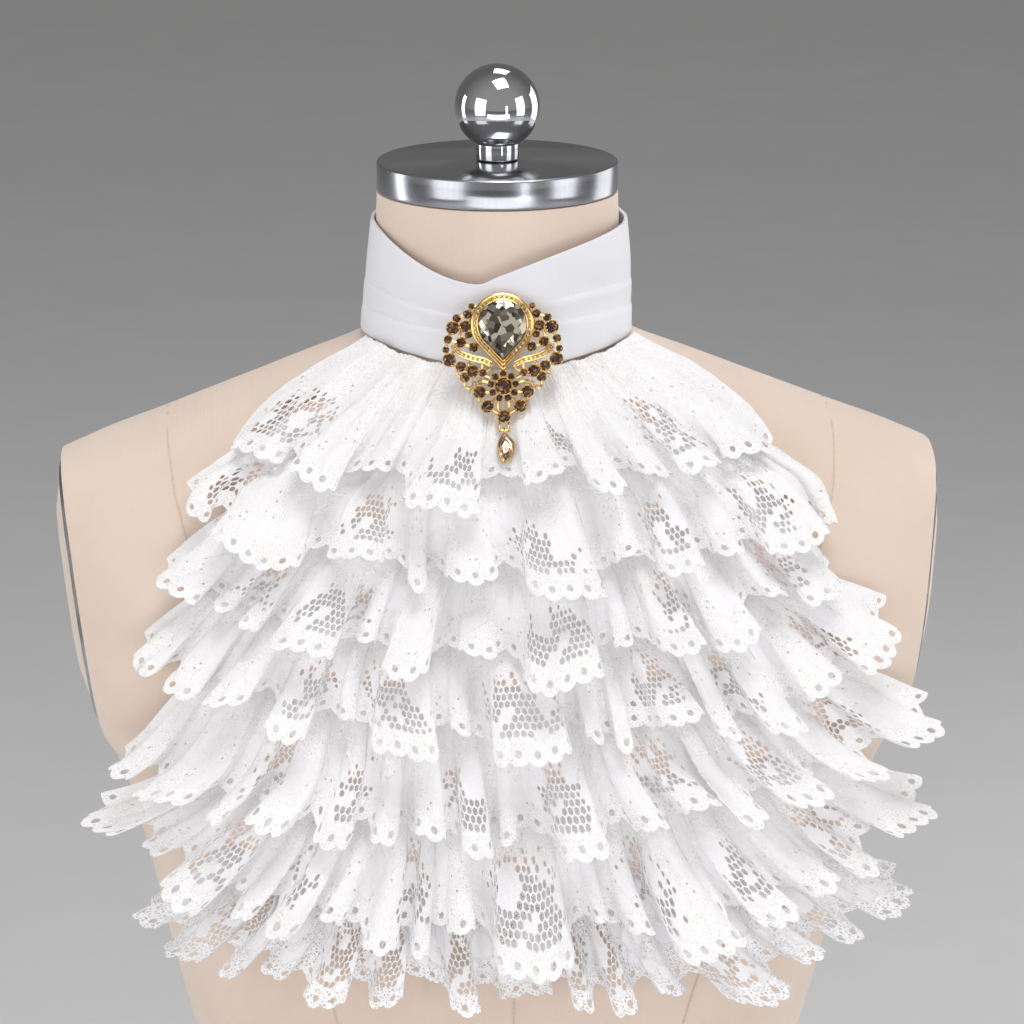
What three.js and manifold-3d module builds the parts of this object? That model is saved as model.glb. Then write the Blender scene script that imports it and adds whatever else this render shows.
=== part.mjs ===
// Lace jabot on a limbless dress form, in millimetres, +Z up, with its front towards -Y.
// The origin is the middle of the form's flat base. Seven gathered lace tiers hang from
// a bib under a tall neck band, and a brooch with a loose drop is pinned at the throat.
import * as THREE from 'three';
import { mergeVertices } from 'three/addons/utils/BufferGeometryUtils.js';
import Module from 'manifold-3d';

const wasm = await Module();
wasm.setup();

// Driving sizes
const SEAM_GAP = 0.3;
const LACE_WALL = 1.0;
const BIB_WALL = 1.0;
const BAND_WALL = 1.6;
const NECK_TOP = 691;
const BUST = { z: 400, across: 82, wide: 50, tall: 65, rise: 14 };
// Below the chest the lace falls straight instead of following the form to its waist.
const CHEST_FALL = { z: 500, half: 209, slope: 0.25 };

// Level sections of the form, each an oval with its own front and back depth.
const FORM_COLUMNS = ['z', 'half', 'front', 'back', 'square'];
const FORM_SECTIONS = [
  [0, 168, 112, 118, 2.3],
  [60, 172, 112, 120, 2.3],
  [130, 160, 104, 108, 2.3],
  [230, 123, 92, 80, 2.2],
  [301, 137, 103, 88, 2.2],
  [342, 147, 110, 96, 2.3],
  [400, 160, 116, 107, 2.4],
  [438, 171, 114, 112, 2.4],
  [455, 182, 112, 114, 2.4],
  [473, 197, 110, 115, 2.4],
  [490, 206, 107, 115, 2.4],
  [520, 213, 100, 112, 2.3],
  [550, 213, 92, 105, 2.1],
  [568, 205, 87, 98, 2.0],
  [580, 183, 83, 92, 1.9],
  [592, 152, 78, 84, 1.85],
  [604, 121, 72, 74, 1.85],
  [616, 90, 65, 62, 1.9],
  [625, 65, 59, 55.5, 2.0],
  [630, 56.5, 56.5, 53, 2.0],
  [644, 55.5, 56, 52, 2.0],
  [664, 54, 54, 51.5, 2.0],
  [NECK_TOP, 53, 52.5, 52, 2.0],
].map((row) => named(FORM_COLUMNS, row));

// Each armhole is a plane through two points. Its plate and its cap are narrower than the cut,
// and the cap narrows again to its crown.
const ARMHOLE = {
  top: [194.3, 580], bottom: [178.8, 470],
  plate: 1.5, plateShare: 0.92, cap: 3.8, capShare: 0.87, crownShare: 0.66,
};
const NECK_CAP = { radius: 53, thick: 13, edge: 1.2 };
const KNOB = { stem: 9.5, stemTall: 9, ball: 18.8 };

// The band narrows and shifts a little towards its top. Its upper edge dips left of the middle.
const BAND = {
  half: 60, front: 63.5, back: 57.5, narrows: 3.6, shift: 0.8,
  top: { front: 661, side: 679, back: 686, dipAt: -0.23, leftBend: 1.8, rightBend: 1.6 },
  bottom: { front: 623.3, side: 630.4, back: 628 },
  overlap: 8, step: 2.2, tuck: 0.9,
};
const BUTTON = { radius: 5, thick: 2.2, heights: [641, 669] };

const BIB_COLUMNS = ['z', 'half'];
const BIB_OUTLINE = [
  [620, 50], [606, 84], [592, 104], [576, 114], [556, 122], [530, 128], [500, 134],
  [470, 137], [448, 136], [428, 130], [410, 116],
].map((row) => named(BIB_COLUMNS, row));
const BIB_LIFT = 1.2;
// The form has a section at each of the bib's levels, so that the bib follows it.
const BIB_LEVELS = [619, 613, 607, 600, 591, 582, 572, 558, 540, 520, 497, 478, 462, 448, 432, 410];

// Each tier of lace: where it is sewn to the bib and where its hem hangs.
const TIER_COLUMNS = [
  'name', 'seamMid', 'seamEnd', 'seamHalf', 'hemMid', 'hemLeftZ', 'hemRightZ', 'hemLeft', 'hemRight',
  'bendLeft', 'bendRight',
];
const TIERS = [
  ['tier_1', 622, 627, 57, 577, 583, 583, -116, 114, 3, 4],
  ['tier_2', 594.5, 602, 88, 539, 567, 558, -136, 138, 2, 2],
  ['tier_3', 560, 572, 108, 505, 539, 536, -145, 137, 2, 2],
  ['tier_4', 528, 541, 120, 474, 507, 520, -154, 162, 2, 4.5],
  ['tier_5', 494, 506, 126, 432, 461, 472, -161, 178, 2, 2],
  ['tier_6', 454, 463, 136, 393, 439, 436, -170, 176, 2.5, 3],
  ['tier_7', 417, 424, 124, 363, 389, 395, -150, 165, 2, 4],
].map((row) => named(TIER_COLUMNS, row));

// Folds along each hem, left to right: place of the crest, its width at half height, how
// far it stands out, how it leans sideways and how much lower its hem hangs.
const FOLD_COLUMNS = ['across', 'wide', 'out', 'lean', 'drop'];
const FOLDS = {
  tier_1: [
    [-102, 21, 7, -0.1, 0], [-77, 18, 13, -0.2, 3], [-55, 11, 12, 0.2, -2], [-29, 29, 19, 0.1, 8],
    [14, 16, 14, -0.1, -1], [35, 14, 15, 0.3, 3], [54, 12, 14, 0.3, -1], [73, 15, 15, 0.3, 2],
    [98, 22, 8, 0.1, 0],
  ],
  tier_2: [
    [-127, 9, 7, -0.2, 2], [-98, 34, 18, -0.3, 5], [-61, 21, 16, -0.2, -2], [-40, 7, 9, 0.2, 3],
    [-19, 21, 17, 0.2, -1], [18, 31, 22, 0.2, 5], [45, 9, 11, 0.3, -6], [66, 17, 15, 0.2, 3],
    [87, 11, 11, 0.2, -2], [111, 24, 17, 0.3, 4], [131, 6, 8, 0.2, 1],
  ],
  tier_3: [
    [-133, 16, 11, -0.3, 3], [-116, 7, 9, -0.2, -1], [-103, 7, 12, -0.3, 2], [-82, 24, 18, -0.2, 5],
    [-61, 7, 10, 0.1, -4], [-42, 18, 17, -0.2, 4], [-17, 15, 15, 0.2, -3], [18, 32, 22, 0.1, 6],
    [44, 7, 10, 0.2, -2], [63, 17, 19, 0.3, 1], [86, 18, 16, 0.3, 6], [106, 9, 11, 0.2, -3],
    [125, 16, 14, 0.2, 3],
  ],
  tier_4: [
    [-146, 9, 10, -0.3, 1], [-130, 13, 13, -0.2, 3], [-110, 15, 17, -0.3, 2], [-89, 15, 14, -0.2, 7],
    [-70, 6, 9, 0.2, -4], [-48, 26, 20, 0.2, 6], [-24, 8, 9, 0.2, -3], [5, 33, 22, 0.1, 4],
    [32, 7, 11, 0.2, -1], [45, 6, 9, 0.2, 2], [64, 16, 17, 0.3, -5], [84, 9, 12, 0.2, 3],
    [104, 14, 16, 0.3, 4], [124, 13, 12, 0.2, -2], [146, 16, 14, 0.3, 2],
  ],
  tier_5: [
    [-153, 8, 11, -0.3, 1], [-132, 21, 18, -0.2, 3], [-112, 7, 13, -0.3, 4], [-94, 14, 15, -0.2, 1],
    [-76, 12, 6, 0.1, 6], [-57, 9, 12, 0.1, 2], [-40, 12, 14, 0.2, -4], [-20, 13, 13, 0.2, 3],
    [-3, 7, 13, -0.1, 0], [28, 21, 18, 0.2, 3], [53, 12, 17, 0.3, -1], [73, 12, 15, 0.2, -5],
    [92, 8, 11, 0.3, 3], [112, 18, 15, 0.2, 4], [136, 16, 17, 0.2, 2], [162, 16, 14, 0.3, 0],
  ],
  tier_6: [
    [-159, 13, 12, -0.3, 1], [-141, 7, 9, -0.2, -2], [-124, 15, 17, -0.2, 5], [-105, 8, 13, 0.2, 2],
    [-89, 10, 14, -0.2, 3], [-75, 7, 8, -0.1, -3], [-60, 11, 14, 0.2, 1], [-44, 7, 8, 0.1, 5],
    [-28, 11, 14, 0.2, -3], [6, 39, 22, 0.1, 9], [37, 6, 10, 0.2, -6], [52, 10, 12, 0.2, -3],
    [74, 20, 19, 0.2, 5], [98, 14, 15, 0.3, 2], [119, 13, 12, 0.2, -2], [138, 9, 12, 0.2, 3],
    [159, 17, 13, 0.3, 0],
  ],
  tier_7: [
    [-143, 8, 10, -0.3, -3], [-125, 15, 14, -0.2, 2], [-108, 7, 11, -0.2, 4], [-94, 8, 9, -0.1, -2],
    [-78, 13, 13, 0.2, 3], [-58, 11, 13, 0.2, 2], [-26, 12, 14, 0.2, 4], [3, 26, 16, 0.1, -2],
    [30, 9, 8, 0.1, 5], [46, 9, 13, 0.2, 3], [63, 9, 12, 0.2, -2], [90, 22, 17, 0.2, 3],
    [114, 11, 12, 0.2, -3], [133, 9, 10, 0.2, 2], [152, 14, 12, 0.3, 0],
  ],
};
const FOLD_TURN = 1.72;
// Folds lean further outwards the further they are from the middle.
const FAN_LEAN = 0.2 / 100;
const LIFT = { seam: 3.8, hem: 12.5, leaves: 0.35, gather: 1.5, ends: 0.6, flare: 1.6 };
// Eyelets above each hem, cut through the fronts of the folds.
const EYELET = { size: 4.4, pitch: 8.2, edge: 2.3, depth: 62, most: 2 };

// Brooch stones on one side, mirrored to the other: place and radius.
const STONE_COLUMNS = ['across', 'up', 'radius'];
const SIDE_STONES = [
  [14.8, 16.5, 1.7], [19.4, 14.8, 1.6], [21.2, 10.7, 2.5], [15.8, 11.3, 2.2], [23.3, 5.8, 1.6],
  [17.8, 4.4, 2.0], [12.4, 2.3, 1.9], [22.9, -3.0, 2.5], [18.0, -5.9, 2.0], [13.2, -8.0, 2.4],
  [16.4, -10.6, 1.9], [10.2, -17.0, 2.4], [7.0, -23.1, 2.4],
].map((row) => named(STONE_COLUMNS, row));
const MID_STONES = [[0, -14.5, 3.6], [0, -27.2, 2.5]].map((row) => named(STONE_COLUMNS, row));
const BROOCH = { at: [-2, -73.6, 634], lean: 18, thick: 2.2, stoneTall: 1.5 };
const PEAR = { radius: 10.5, middle: 11.9, tip: -3.5, rim: 2.4, tall: 4.2 };
const DROP = { wide: 7, tall: 14, thick: 3.4, lean: 42, pin: 0.5, eye: 0.9, eyeRim: 0.65, below: -33.4 };

const COLOURS = {
  jersey: { color: 0xecd9c8, roughness: 0.9, metalness: 0 },
  steel: { color: 0xb9bcc0, roughness: 0.3, metalness: 1 },
  chrome: { color: 0xdcdfe3, roughness: 0.06, metalness: 1 },
  cotton: { color: 0xf4f3f1, roughness: 0.9, metalness: 0 },
  lace: { color: 0xf7f6f4, roughness: 0.9, metalness: 0 },
  shell: { color: 0xf2efe8, roughness: 0.3, metalness: 0 },
  gold: { color: 0xc9a24a, roughness: 0.25, metalness: 1 },
  crystal: { color: 0x6f675c, roughness: 0.05, metalness: 0 },
  topaz: { color: 0x7a5a44, roughness: 0.08, metalness: 0 },
};

function named(columns, row) {
  return Object.fromEntries(columns.map((name, i) => [name, row[i]]));
}

// Smooth value of a column at a height, by a cubic through neighbouring rows
// whose slope is held down so that it never overshoots them.
function smoothAt(rows, column, z) {
  const last = rows.length - 1;
  let i = rows.findIndex((row) => row.z > z) - 1;
  if (z <= rows[0].z) i = 0;
  if (z >= rows[last].z) i = last - 1;
  const rise = (k) => (rows[k + 1][column] - rows[k][column]) / (rows[k + 1].z - rows[k].z);
  const slope = (k) => {
    if (k === 0 || k === last) return rise(Math.min(k, last - 1));
    const [before, after] = [rise(k - 1), rise(k)];
    return before * after <= 0 ? 0 : 2 * before * after / (before + after);
  };
  const span = rows[i + 1].z - rows[i].z;
  const t = THREE.MathUtils.clamp((z - rows[i].z) / span, 0, 1);
  const [a, b] = [rows[i][column], rows[i + 1][column]];
  const [u, w] = [slope(i) * span, slope(i + 1) * span];
  return a + t * (u + t * (3 * (b - a) - 2 * u - w + t * (2 * (a - b) + u + w)));
}

function straightAt(rows, column, z) {
  const sorted = [...rows].sort((p, q) => p.z - q.z);
  const i = THREE.MathUtils.clamp(sorted.findIndex((row) => row.z > z) - 1, 0, sorted.length - 2);
  const t = (z - sorted[i].z) / (sorted[i + 1].z - sorted[i].z);
  return THREE.MathUtils.lerp(sorted[i][column], sorted[i + 1][column], THREE.MathUtils.clamp(t, 0, 1));
}

// The form's surface, and the surface that hanging lace follows as hang goes to 1.
function halfAt(z, hang) {
  const half = smoothAt(FORM_SECTIONS, 'half', z);
  const fall = CHEST_FALL.half - CHEST_FALL.slope * (CHEST_FALL.z - z);
  return THREE.MathUtils.lerp(half, z < CHEST_FALL.z ? Math.max(half, fall) : half, hang);
}

function frontAt(x, z) {
  const bust = BUST.rise * Math.exp(
    -(((Math.abs(x) - BUST.across) / BUST.wide) ** 2) - ((z - BUST.z) / BUST.tall) ** 2,
  );
  return smoothAt(FORM_SECTIONS, 'front', z) + bust;
}

function skin(angle, z, hang = 0) {
  const power = 2 / smoothAt(FORM_SECTIONS, 'square', z);
  const [s, c] = [Math.sin(angle), Math.cos(angle)];
  const x = halfAt(z, hang) * Math.sign(s) * Math.abs(s) ** power;
  const hung = frontAt(x, Math.max(z, BUST.z));
  const depth = c > 0
    ? THREE.MathUtils.lerp(frontAt(x, z), Math.max(hung, frontAt(x, z)), hang)
    : smoothAt(FORM_SECTIONS, 'back', z);
  return new THREE.Vector3(x, -depth * Math.sign(c) * Math.abs(c) ** power, z);
}

function skinFrame(angle, z, hang = 0) {
  const [da, dz] = [0.02, 1.5];
  const along = skin(angle + da, z, hang).sub(skin(angle - da, z, hang)).normalize();
  const up = skin(angle, z + dz, hang).sub(skin(angle, z - dz, hang)).normalize();
  return { along, out: along.clone().cross(up).normalize() };
}

// Angle round the section at which the surface lies at x.
function angleAt(x, z, hang = 0) {
  const ratio = Math.min(Math.abs(x) / halfAt(z, hang), 0.995);
  return Math.sign(x) * Math.asin(ratio ** (smoothAt(FORM_SECTIONS, 'square', z) / 2));
}

// Normals at a sheet's points, each face counting by its corner's angle there.
function normalsOf({ points, faces }) {
  const normals = points.map(() => new THREE.Vector3());
  for (const face of faces) {
    const corners = face.map((i) => points[i]);
    const normal = new THREE.Triangle(...corners).getNormal(new THREE.Vector3());
    corners.forEach((corner, k) => {
      const next = corners[(k + 1) % 3].clone().sub(corner);
      const last = corners[(k + 2) % 3].clone().sub(corner);
      normals[face[k]].addScaledVector(normal, next.angleTo(last));
    });
  }
  return normals.map((normal) => normal.normalize());
}

// A closed wall from a sheet of points: its two faces, and a strip along every open edge.
function wall(sheet, thickness) {
  const count = sheet.points.length;
  const normals = normalsOf(sheet);
  const position = [];
  for (const side of [0.5, -0.5]) {
    sheet.points.forEach((point, i) => {
      const moved = point.clone().addScaledVector(normals[i], side * thickness);
      position.push(moved.x, moved.y, moved.z);
    });
  }
  const index = [];
  const edges = new Map();
  for (const [a, b, c] of sheet.faces) {
    index.push(a, b, c, count + a, count + c, count + b);
    for (const [p, q] of [[a, b], [b, c], [c, a]]) {
      if (!edges.delete(`${q}_${p}`)) edges.set(`${p}_${q}`, [p, q]);
    }
  }
  for (const [p, q] of edges.values()) {
    index.push(p, count + p, q, q, count + p, count + q);
  }
  return solid(position, index);
}

function solid(position, index) {
  const geometry = new THREE.BufferGeometry();
  geometry.setAttribute('position', new THREE.Float32BufferAttribute(position, 3));
  geometry.setIndex(index);
  return geometry;
}

// Rows of a sheet may have different columns: the strip between two rows steps along
// whichever row has the nearer next point. A cell that open() names is left out.
function sheetOf(rows, pointAt, open = () => false) {
  const sheet = { points: [], faces: [] };
  const starts = rows.map((row) => {
    const start = sheet.points.length;
    row.columns.forEach((u) => sheet.points.push(pointAt(u, row.v)));
    return start;
  });
  for (let r = 0; r < rows.length - 1; r += 1) {
    const [upper, lower] = [rows[r].columns, rows[r + 1].columns];
    let [i, j] = [0, 0];
    while (i < upper.length - 1 || j < lower.length - 1) {
      const [a, b] = [starts[r] + i, starts[r + 1] + j];
      const even = i < upper.length - 1 && j < lower.length - 1
        && Math.abs(upper[i + 1] - lower[j + 1]) < 1e-9 && Math.abs(upper[i] - lower[j]) < 1e-9;
      if (even) {
        if (!open(r, upper[i], upper[i + 1])) sheet.faces.push([a, b, b + 1], [a, b + 1, a + 1]);
        i += 1;
        j += 1;
      } else if (j === lower.length - 1 || (i < upper.length - 1 && upper[i + 1] <= lower[j + 1])) {
        sheet.faces.push([a, b, a + 1]);
        i += 1;
      } else {
        sheet.faces.push([a, b, b + 1]);
        j += 1;
      }
    }
  }
  return sheet;
}

function spread(from, to, steps) {
  return Array.from({ length: steps + 1 }, (_, i) => from + (to - from) * i / steps);
}

// A closed body from rings of equal length, with flat ends.
function loft(rings) {
  const across = rings[0].length;
  const position = rings.flat().flatMap((p) => [p.x, p.y, p.z]);
  const index = [];
  for (let r = 0; r < rings.length - 1; r += 1) {
    for (let i = 0; i < across; i += 1) {
      const [a, b] = [r * across + i, r * across + (i + 1) % across];
      index.push(a, b, b + across, a, b + across, a + across);
    }
  }
  for (const end of [0, rings.length - 1]) {
    const middle = new THREE.Vector3();
    rings[end].forEach((p) => middle.addScaledVector(p, 1 / across));
    const hub = position.length / 3;
    position.push(middle.x, middle.y, middle.z);
    for (let i = 0; i < across; i += 1) {
      const [a, b] = [end * across + i, end * across + (i + 1) % across];
      index.push(...(end === 0 ? [hub, b, a] : [hub, a, b]));
    }
  }
  return solid(position, index);
}

function toManifold(geometry) {
  const bare = geometry.clone();
  bare.deleteAttribute('normal');
  bare.deleteAttribute('uv');
  const merged = mergeVertices(bare, 1e-4);
  return new wasm.Manifold(new wasm.Mesh({
    numProp: 3,
    vertProperties: new Float32Array(merged.attributes.position.array),
    triVerts: new Uint32Array(merged.index.array),
  }));
}

function fromManifold(body) {
  const mesh = body.getMesh();
  return solid(Array.from(mesh.vertProperties), Array.from(mesh.triVerts));
}

const jabot = new THREE.Group();

function add(name, geometry, material, parent = jabot) {
  const mesh = new THREE.Mesh(geometry, new THREE.MeshStandardMaterial(COLOURS[material]));
  mesh.name = name;
  parent.add(mesh);
  return mesh;
}

function placed(geometry, x, y, z) {
  return geometry.translate(x, y, z);
}

// The form: one smooth body from hips to neck, sliced at the armholes, where a steel
// plate and a covered cap finish each side.
function bodyOfForm() {
  const around = spread(-Math.PI, Math.PI, 36).slice(0, -1);
  const low = [0, 60, 130, 190, 230, 265, 300, 340, 375];
  const high = [625, 630, 644, NECK_TOP];
  const levels = [...low, ...[...BIB_LEVELS].reverse(), ...high];
  return loft(levels.map((z) => around.map((angle) => skin(angle, z))));
}

// The frame of one side's armhole: its x axis points straight out of the armhole plane.
function armholeFrame(side) {
  const { top, bottom } = ARMHOLE;
  const tilt = Math.atan2(top[0] - bottom[0], top[1] - bottom[1]);
  return new THREE.Matrix4().makeRotationZ(side < 0 ? Math.PI : 0)
    .multiply(new THREE.Matrix4().makeTranslation((top[0] + bottom[0]) / 2, 0, (top[1] + bottom[1]) / 2))
    .multiply(new THREE.Matrix4().makeRotationY(tilt));
}

// A block that holds everything beyond an armhole plane, from one distance to another.
function armholeSlab(side, from, to) {
  const reach = 300;
  const slab = placed(new THREE.BoxGeometry(to - from, reach, reach), (from + to) / 2, 0, 0);
  return toManifold(slab.applyMatrix4(armholeFrame(side)));
}

// A slice of the body beyond an armhole, narrowed towards its middle: its inner face to
// one share of its size and its outer face to another.
function armholeSlice(whole, side, [from, innerShare], [to, outerShare]) {
  const frame = armholeFrame(side);
  const slice = fromManifold(whole.intersect(armholeSlab(side, from, to)));
  slice.applyMatrix4(frame.clone().invert());
  slice.computeBoundingBox();
  const middle = slice.boundingBox.getCenter(new THREE.Vector3());
  const { position } = slice.attributes;
  for (let i = 0; i < position.count; i += 1) {
    const share = THREE.MathUtils.mapLinear(position.getX(i), from, to, innerShare, outerShare);
    position.setY(i, THREE.MathUtils.lerp(middle.y, position.getY(i), share));
    position.setZ(i, THREE.MathUtils.lerp(middle.z, position.getZ(i), share));
  }
  return slice.applyMatrix4(frame);
}

function addForm() {
  const whole = toManifold(bodyOfForm());
  let body = whole;
  const far = 60;
  const { plate, plateShare, cap, capShare, crownShare } = ARMHOLE;
  const plateEnd = SEAM_GAP + plate;
  const capStart = plateEnd + SEAM_GAP;
  for (const [side, name] of [[-1, 'left'], [1, 'right']]) {
    body = body.subtract(armholeSlab(side, 0, far));
    add(`armhole_plate_${name}`, armholeSlice(
      whole, side, [SEAM_GAP, plateShare], [plateEnd, plateShare],
    ), 'steel');
    add(`armhole_cap_${name}`, armholeSlice(
      whole, side, [capStart, capShare], [capStart + cap, crownShare],
    ), 'jersey');
  }
  add('form_torso', fromManifold(body), 'jersey');
}

function turned(outline, segments) {
  const points = outline.map(([radius, height]) => new THREE.Vector2(radius, height));
  return new THREE.LatheGeometry(points, segments).rotateX(Math.PI / 2);
}

function addNeckFittings() {
  const { radius, thick, edge } = NECK_CAP;
  const seat = NECK_TOP + SEAM_GAP;
  const disc = turned([
    [0, 0], [radius - edge, 0], [radius, edge], [radius, thick - edge], [radius - edge, thick], [0, thick],
  ], 30);
  add('neck_cap', placed(disc, 0, 0, seat), 'steel');
  const foot = seat + thick + SEAM_GAP;
  const low = -Math.acos(KNOB.stem / KNOB.ball);
  const middle = KNOB.stemTall + KNOB.ball * Math.sin(-low) - 2;
  const outline = [[0, 0], [KNOB.stem, 0]];
  for (const turn of spread(low, Math.PI / 2, 8)) {
    outline.push([KNOB.ball * Math.cos(turn), middle + KNOB.ball * Math.sin(turn)]);
  }
  outline[outline.length - 1][0] = 0;
  add('neck_knob', placed(turned(outline, 18), 0, 0, foot), 'chrome');
}

// The bib that the tiers are sewn to, laid over the front of the form.
function addBib() {
  const rows = BIB_LEVELS.map((v) => ({ v, columns: spread(-1, 1, 12) }));
  const sheet = sheetOf(rows, (u, z) => {
    const angle = u * angleAt(straightAt(BIB_OUTLINE, 'half', z), z);
    return skin(angle, z).addScaledVector(skinFrame(angle, z).out, BIB_LIFT + BIB_WALL / 2);
  });
  add('bib', wall(sheet, BIB_WALL), 'cotton');
}

// One fold in section: the cloth's slope swings out and back, so that its path keeps
// an even length. Gives the share of the fold's width and of its height at t from 0 to 1.
function foldSection(turn) {
  const steps = 96;
  const across = [0];
  const up = [0];
  for (let i = 0; i < steps; i += 1) {
    const slope = turn * Math.sin(2 * Math.PI * (i + 0.5) / steps);
    across.push(across[i] + Math.cos(slope));
    up.push(up[i] + Math.sin(slope));
  }
  const at = (list, scale, t) => {
    const k = Math.min(Math.floor(t * steps), steps - 1);
    return THREE.MathUtils.lerp(list[k], list[k + 1], t * steps - k) / scale;
  };
  return (t) => ({ across: at(across, across[steps], t), up: at(up, up[steps / 2], t) });
}

const fold = foldSection(FOLD_TURN);

// A fold's crest takes the middle half of its cloth, between its two edges.
function spreadOver([start, left, right, end], share) {
  if (share < 0.25) return THREE.MathUtils.lerp(start, left, share * 4);
  if (share > 0.75) return THREE.MathUtils.lerp(right, end, share * 4 - 3);
  return THREE.MathUtils.lerp(left, right, share * 2 - 0.5);
}

// Shape of one tier. place(u, v) gives its middle surface, with u counting folds from
// the left end and v going from the seam, 0, to the hem, 1.
function tierShape(tier) {
  const folds = FOLDS[tier.name].map((row) => named(FOLD_COLUMNS, row));
  const edge = (i, side) => folds[i].across + side * folds[i].wide / 2;
  const bounds = folds.map((f, i) => (i === 0 ? tier.hemLeft : (edge(i - 1, 1) + edge(i, -1)) / 2));
  bounds.push(tier.hemRight);
  const hemZ = (x) => {
    const [end, reach, bend] = x < 0
      ? [tier.hemLeftZ, x / tier.hemLeft, tier.bendLeft]
      : [tier.hemRightZ, x / tier.hemRight, tier.bendRight];
    return THREE.MathUtils.lerp(tier.hemMid, end, reach ** bend);
  };
  const place = (u, v) => {
    const i = THREE.MathUtils.clamp(Math.floor(u), 0, folds.length - 1);
    const t = u - i;
    const part = fold(t);
    const straight = THREE.MathUtils.lerp(bounds[i], bounds[i + 1], t);
    const share = (straight - tier.hemLeft) / (tier.hemRight - tier.hemLeft) * 2 - 1;
    const seamX = tier.seamHalf * share;
    const seamZ = THREE.MathUtils.lerp(tier.seamMid, tier.seamEnd, share ** 2);
    const hemX = spreadOver([bounds[i], edge(i, -1), edge(i, 1), bounds[i + 1]], part.across);
    const hemDrop = hemZ(hemX) - folds[i].drop * part.up;
    const angle = THREE.MathUtils.lerp(angleAt(seamX, seamZ), angleAt(hemX, hemDrop, 1), v);
    const z = THREE.MathUtils.lerp(seamZ, hemDrop, v);
    const hang = v * v;
    const leaving = Math.max(0, (v - LIFT.leaves) / (1 - LIFT.leaves));
    const endEase = 1 - LIFT.ends * share ** 6 * (z > CHEST_FALL.z ? 1 : 0.3);
    const rise = (LIFT.gather + (folds[i].out - LIFT.gather) * v ** LIFT.flare) * part.up;
    const lift = LIFT.seam + (LIFT.hem - LIFT.seam) * leaving * endEase;
    const { along, out } = skinFrame(angle, z, hang);
    return skin(angle, z, hang)
      .addScaledVector(out, lift + rise)
      .addScaledVector(along, (folds[i].lean + FAN_LEAN * folds[i].across) * rise * v);
  };
  const pathOf = (i) => {
    let [length, last] = [0, place(i, 1)];
    for (const t of spread(0, 1, 24).slice(1)) {
      const next = place(i + Math.min(t, 0.9999), 1);
      length += next.distanceTo(last);
      last = next;
    }
    return length;
  };
  return { place, folds, pathOf };
}

function addTier(tier) {
  const { place, folds, pathOf } = tierShape(tier);
  const seam = [];
  const middle = [];
  const fine = [];
  const eyelets = [];
  folds.forEach((f, i) => {
    seam.push(i, i + 0.5);
    middle.push(i, i + 0.25, i + 0.5, i + 0.75);
    fine.push(i, i + 0.25);
    const path = pathOf(i);
    const count = Math.min(Math.floor(0.46 * path / EYELET.pitch), EYELET.most);
    for (let k = 0; k < count; k += 1) {
      const start = i + 0.5 + ((k - (count - 1) / 2) * EYELET.pitch - EYELET.size / 2) / path;
      fine.push(start, start + EYELET.size / path);
      eyelets.push(start);
    }
    if (count === 0) fine.push(i + 0.5);
    fine.push(i + 0.75);
  });
  [seam, middle, fine].forEach((columns) => columns.push(folds.length));
  const hemEdge = 1 - EYELET.edge / EYELET.depth;
  const rows = [
    { v: 0, columns: seam },
    { v: 0.45, columns: middle },
    { v: hemEdge - EYELET.size / EYELET.depth, columns: fine },
    { v: hemEdge, columns: fine },
    { v: 1, columns: fine },
  ];
  const eyeletRow = 2;
  const isEyelet = (r, left) => r === eyeletRow && eyelets.some((u) => Math.abs(u - left) < 1e-9);
  add(tier.name, wall(sheetOf(rows, place, isEyelet), LACE_WALL), 'lace');
}

// Neck band: a tall strip round the neck whose ends lap at the back. Angle 0 is the front.
function bandTop(angle) {
  const { front, side, back, dipAt, leftBend, rightBend } = BAND.top;
  const across = Math.sin(angle);
  if (Math.cos(angle) <= 0) return THREE.MathUtils.lerp(back, side, across ** 2);
  if (across < dipAt) {
    return THREE.MathUtils.lerp(front, side, ((dipAt - across) / (1 + dipAt)) ** leftBend);
  }
  const reach = (across - dipAt) / (1 - dipAt);
  return THREE.MathUtils.lerp(front, side, 1 - (1 - reach) ** rightBend);
}

function bandBottom(angle) {
  const { front, side, back } = BAND.bottom;
  return THREE.MathUtils.lerp(Math.cos(angle) > 0 ? front : back, side, Math.abs(Math.sin(angle)));
}

function bandPoint(angle, v) {
  const lap = THREE.MathUtils.smoothstep(angle, Math.PI * 0.84, Math.PI * 0.98) * BAND.step;
  const turn = THREE.MathUtils.clamp(Math.abs(angle) / (Math.PI / 2), 0, 1);
  const tuckAt = (height) => Math.exp(-(((v - height) / 0.07) ** 2)) * THREE.MathUtils.smoothstep(turn, 0.2, 0.6);
  const tuck = BAND.tuck * (tuckAt(0.42 + 0.16 * (1 - turn)) + tuckAt(0.24 + 0.1 * (1 - turn)))
    * (Math.cos(angle) > -0.3 ? 1 : 0);
  const [s, c] = [Math.sin(angle), Math.cos(angle)];
  const grow = lap - BAND_WALL / 2 - tuck;
  const narrows = v ** 1.5;
  const half = BAND.half + grow - BAND.narrows * narrows;
  const depth = (c > 0 ? BAND.front : BAND.back) + grow;
  const z = THREE.MathUtils.lerp(bandBottom(angle), bandTop(angle), v);
  return new THREE.Vector3(half * s + BAND.shift * narrows, -depth * c, z);
}

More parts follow.
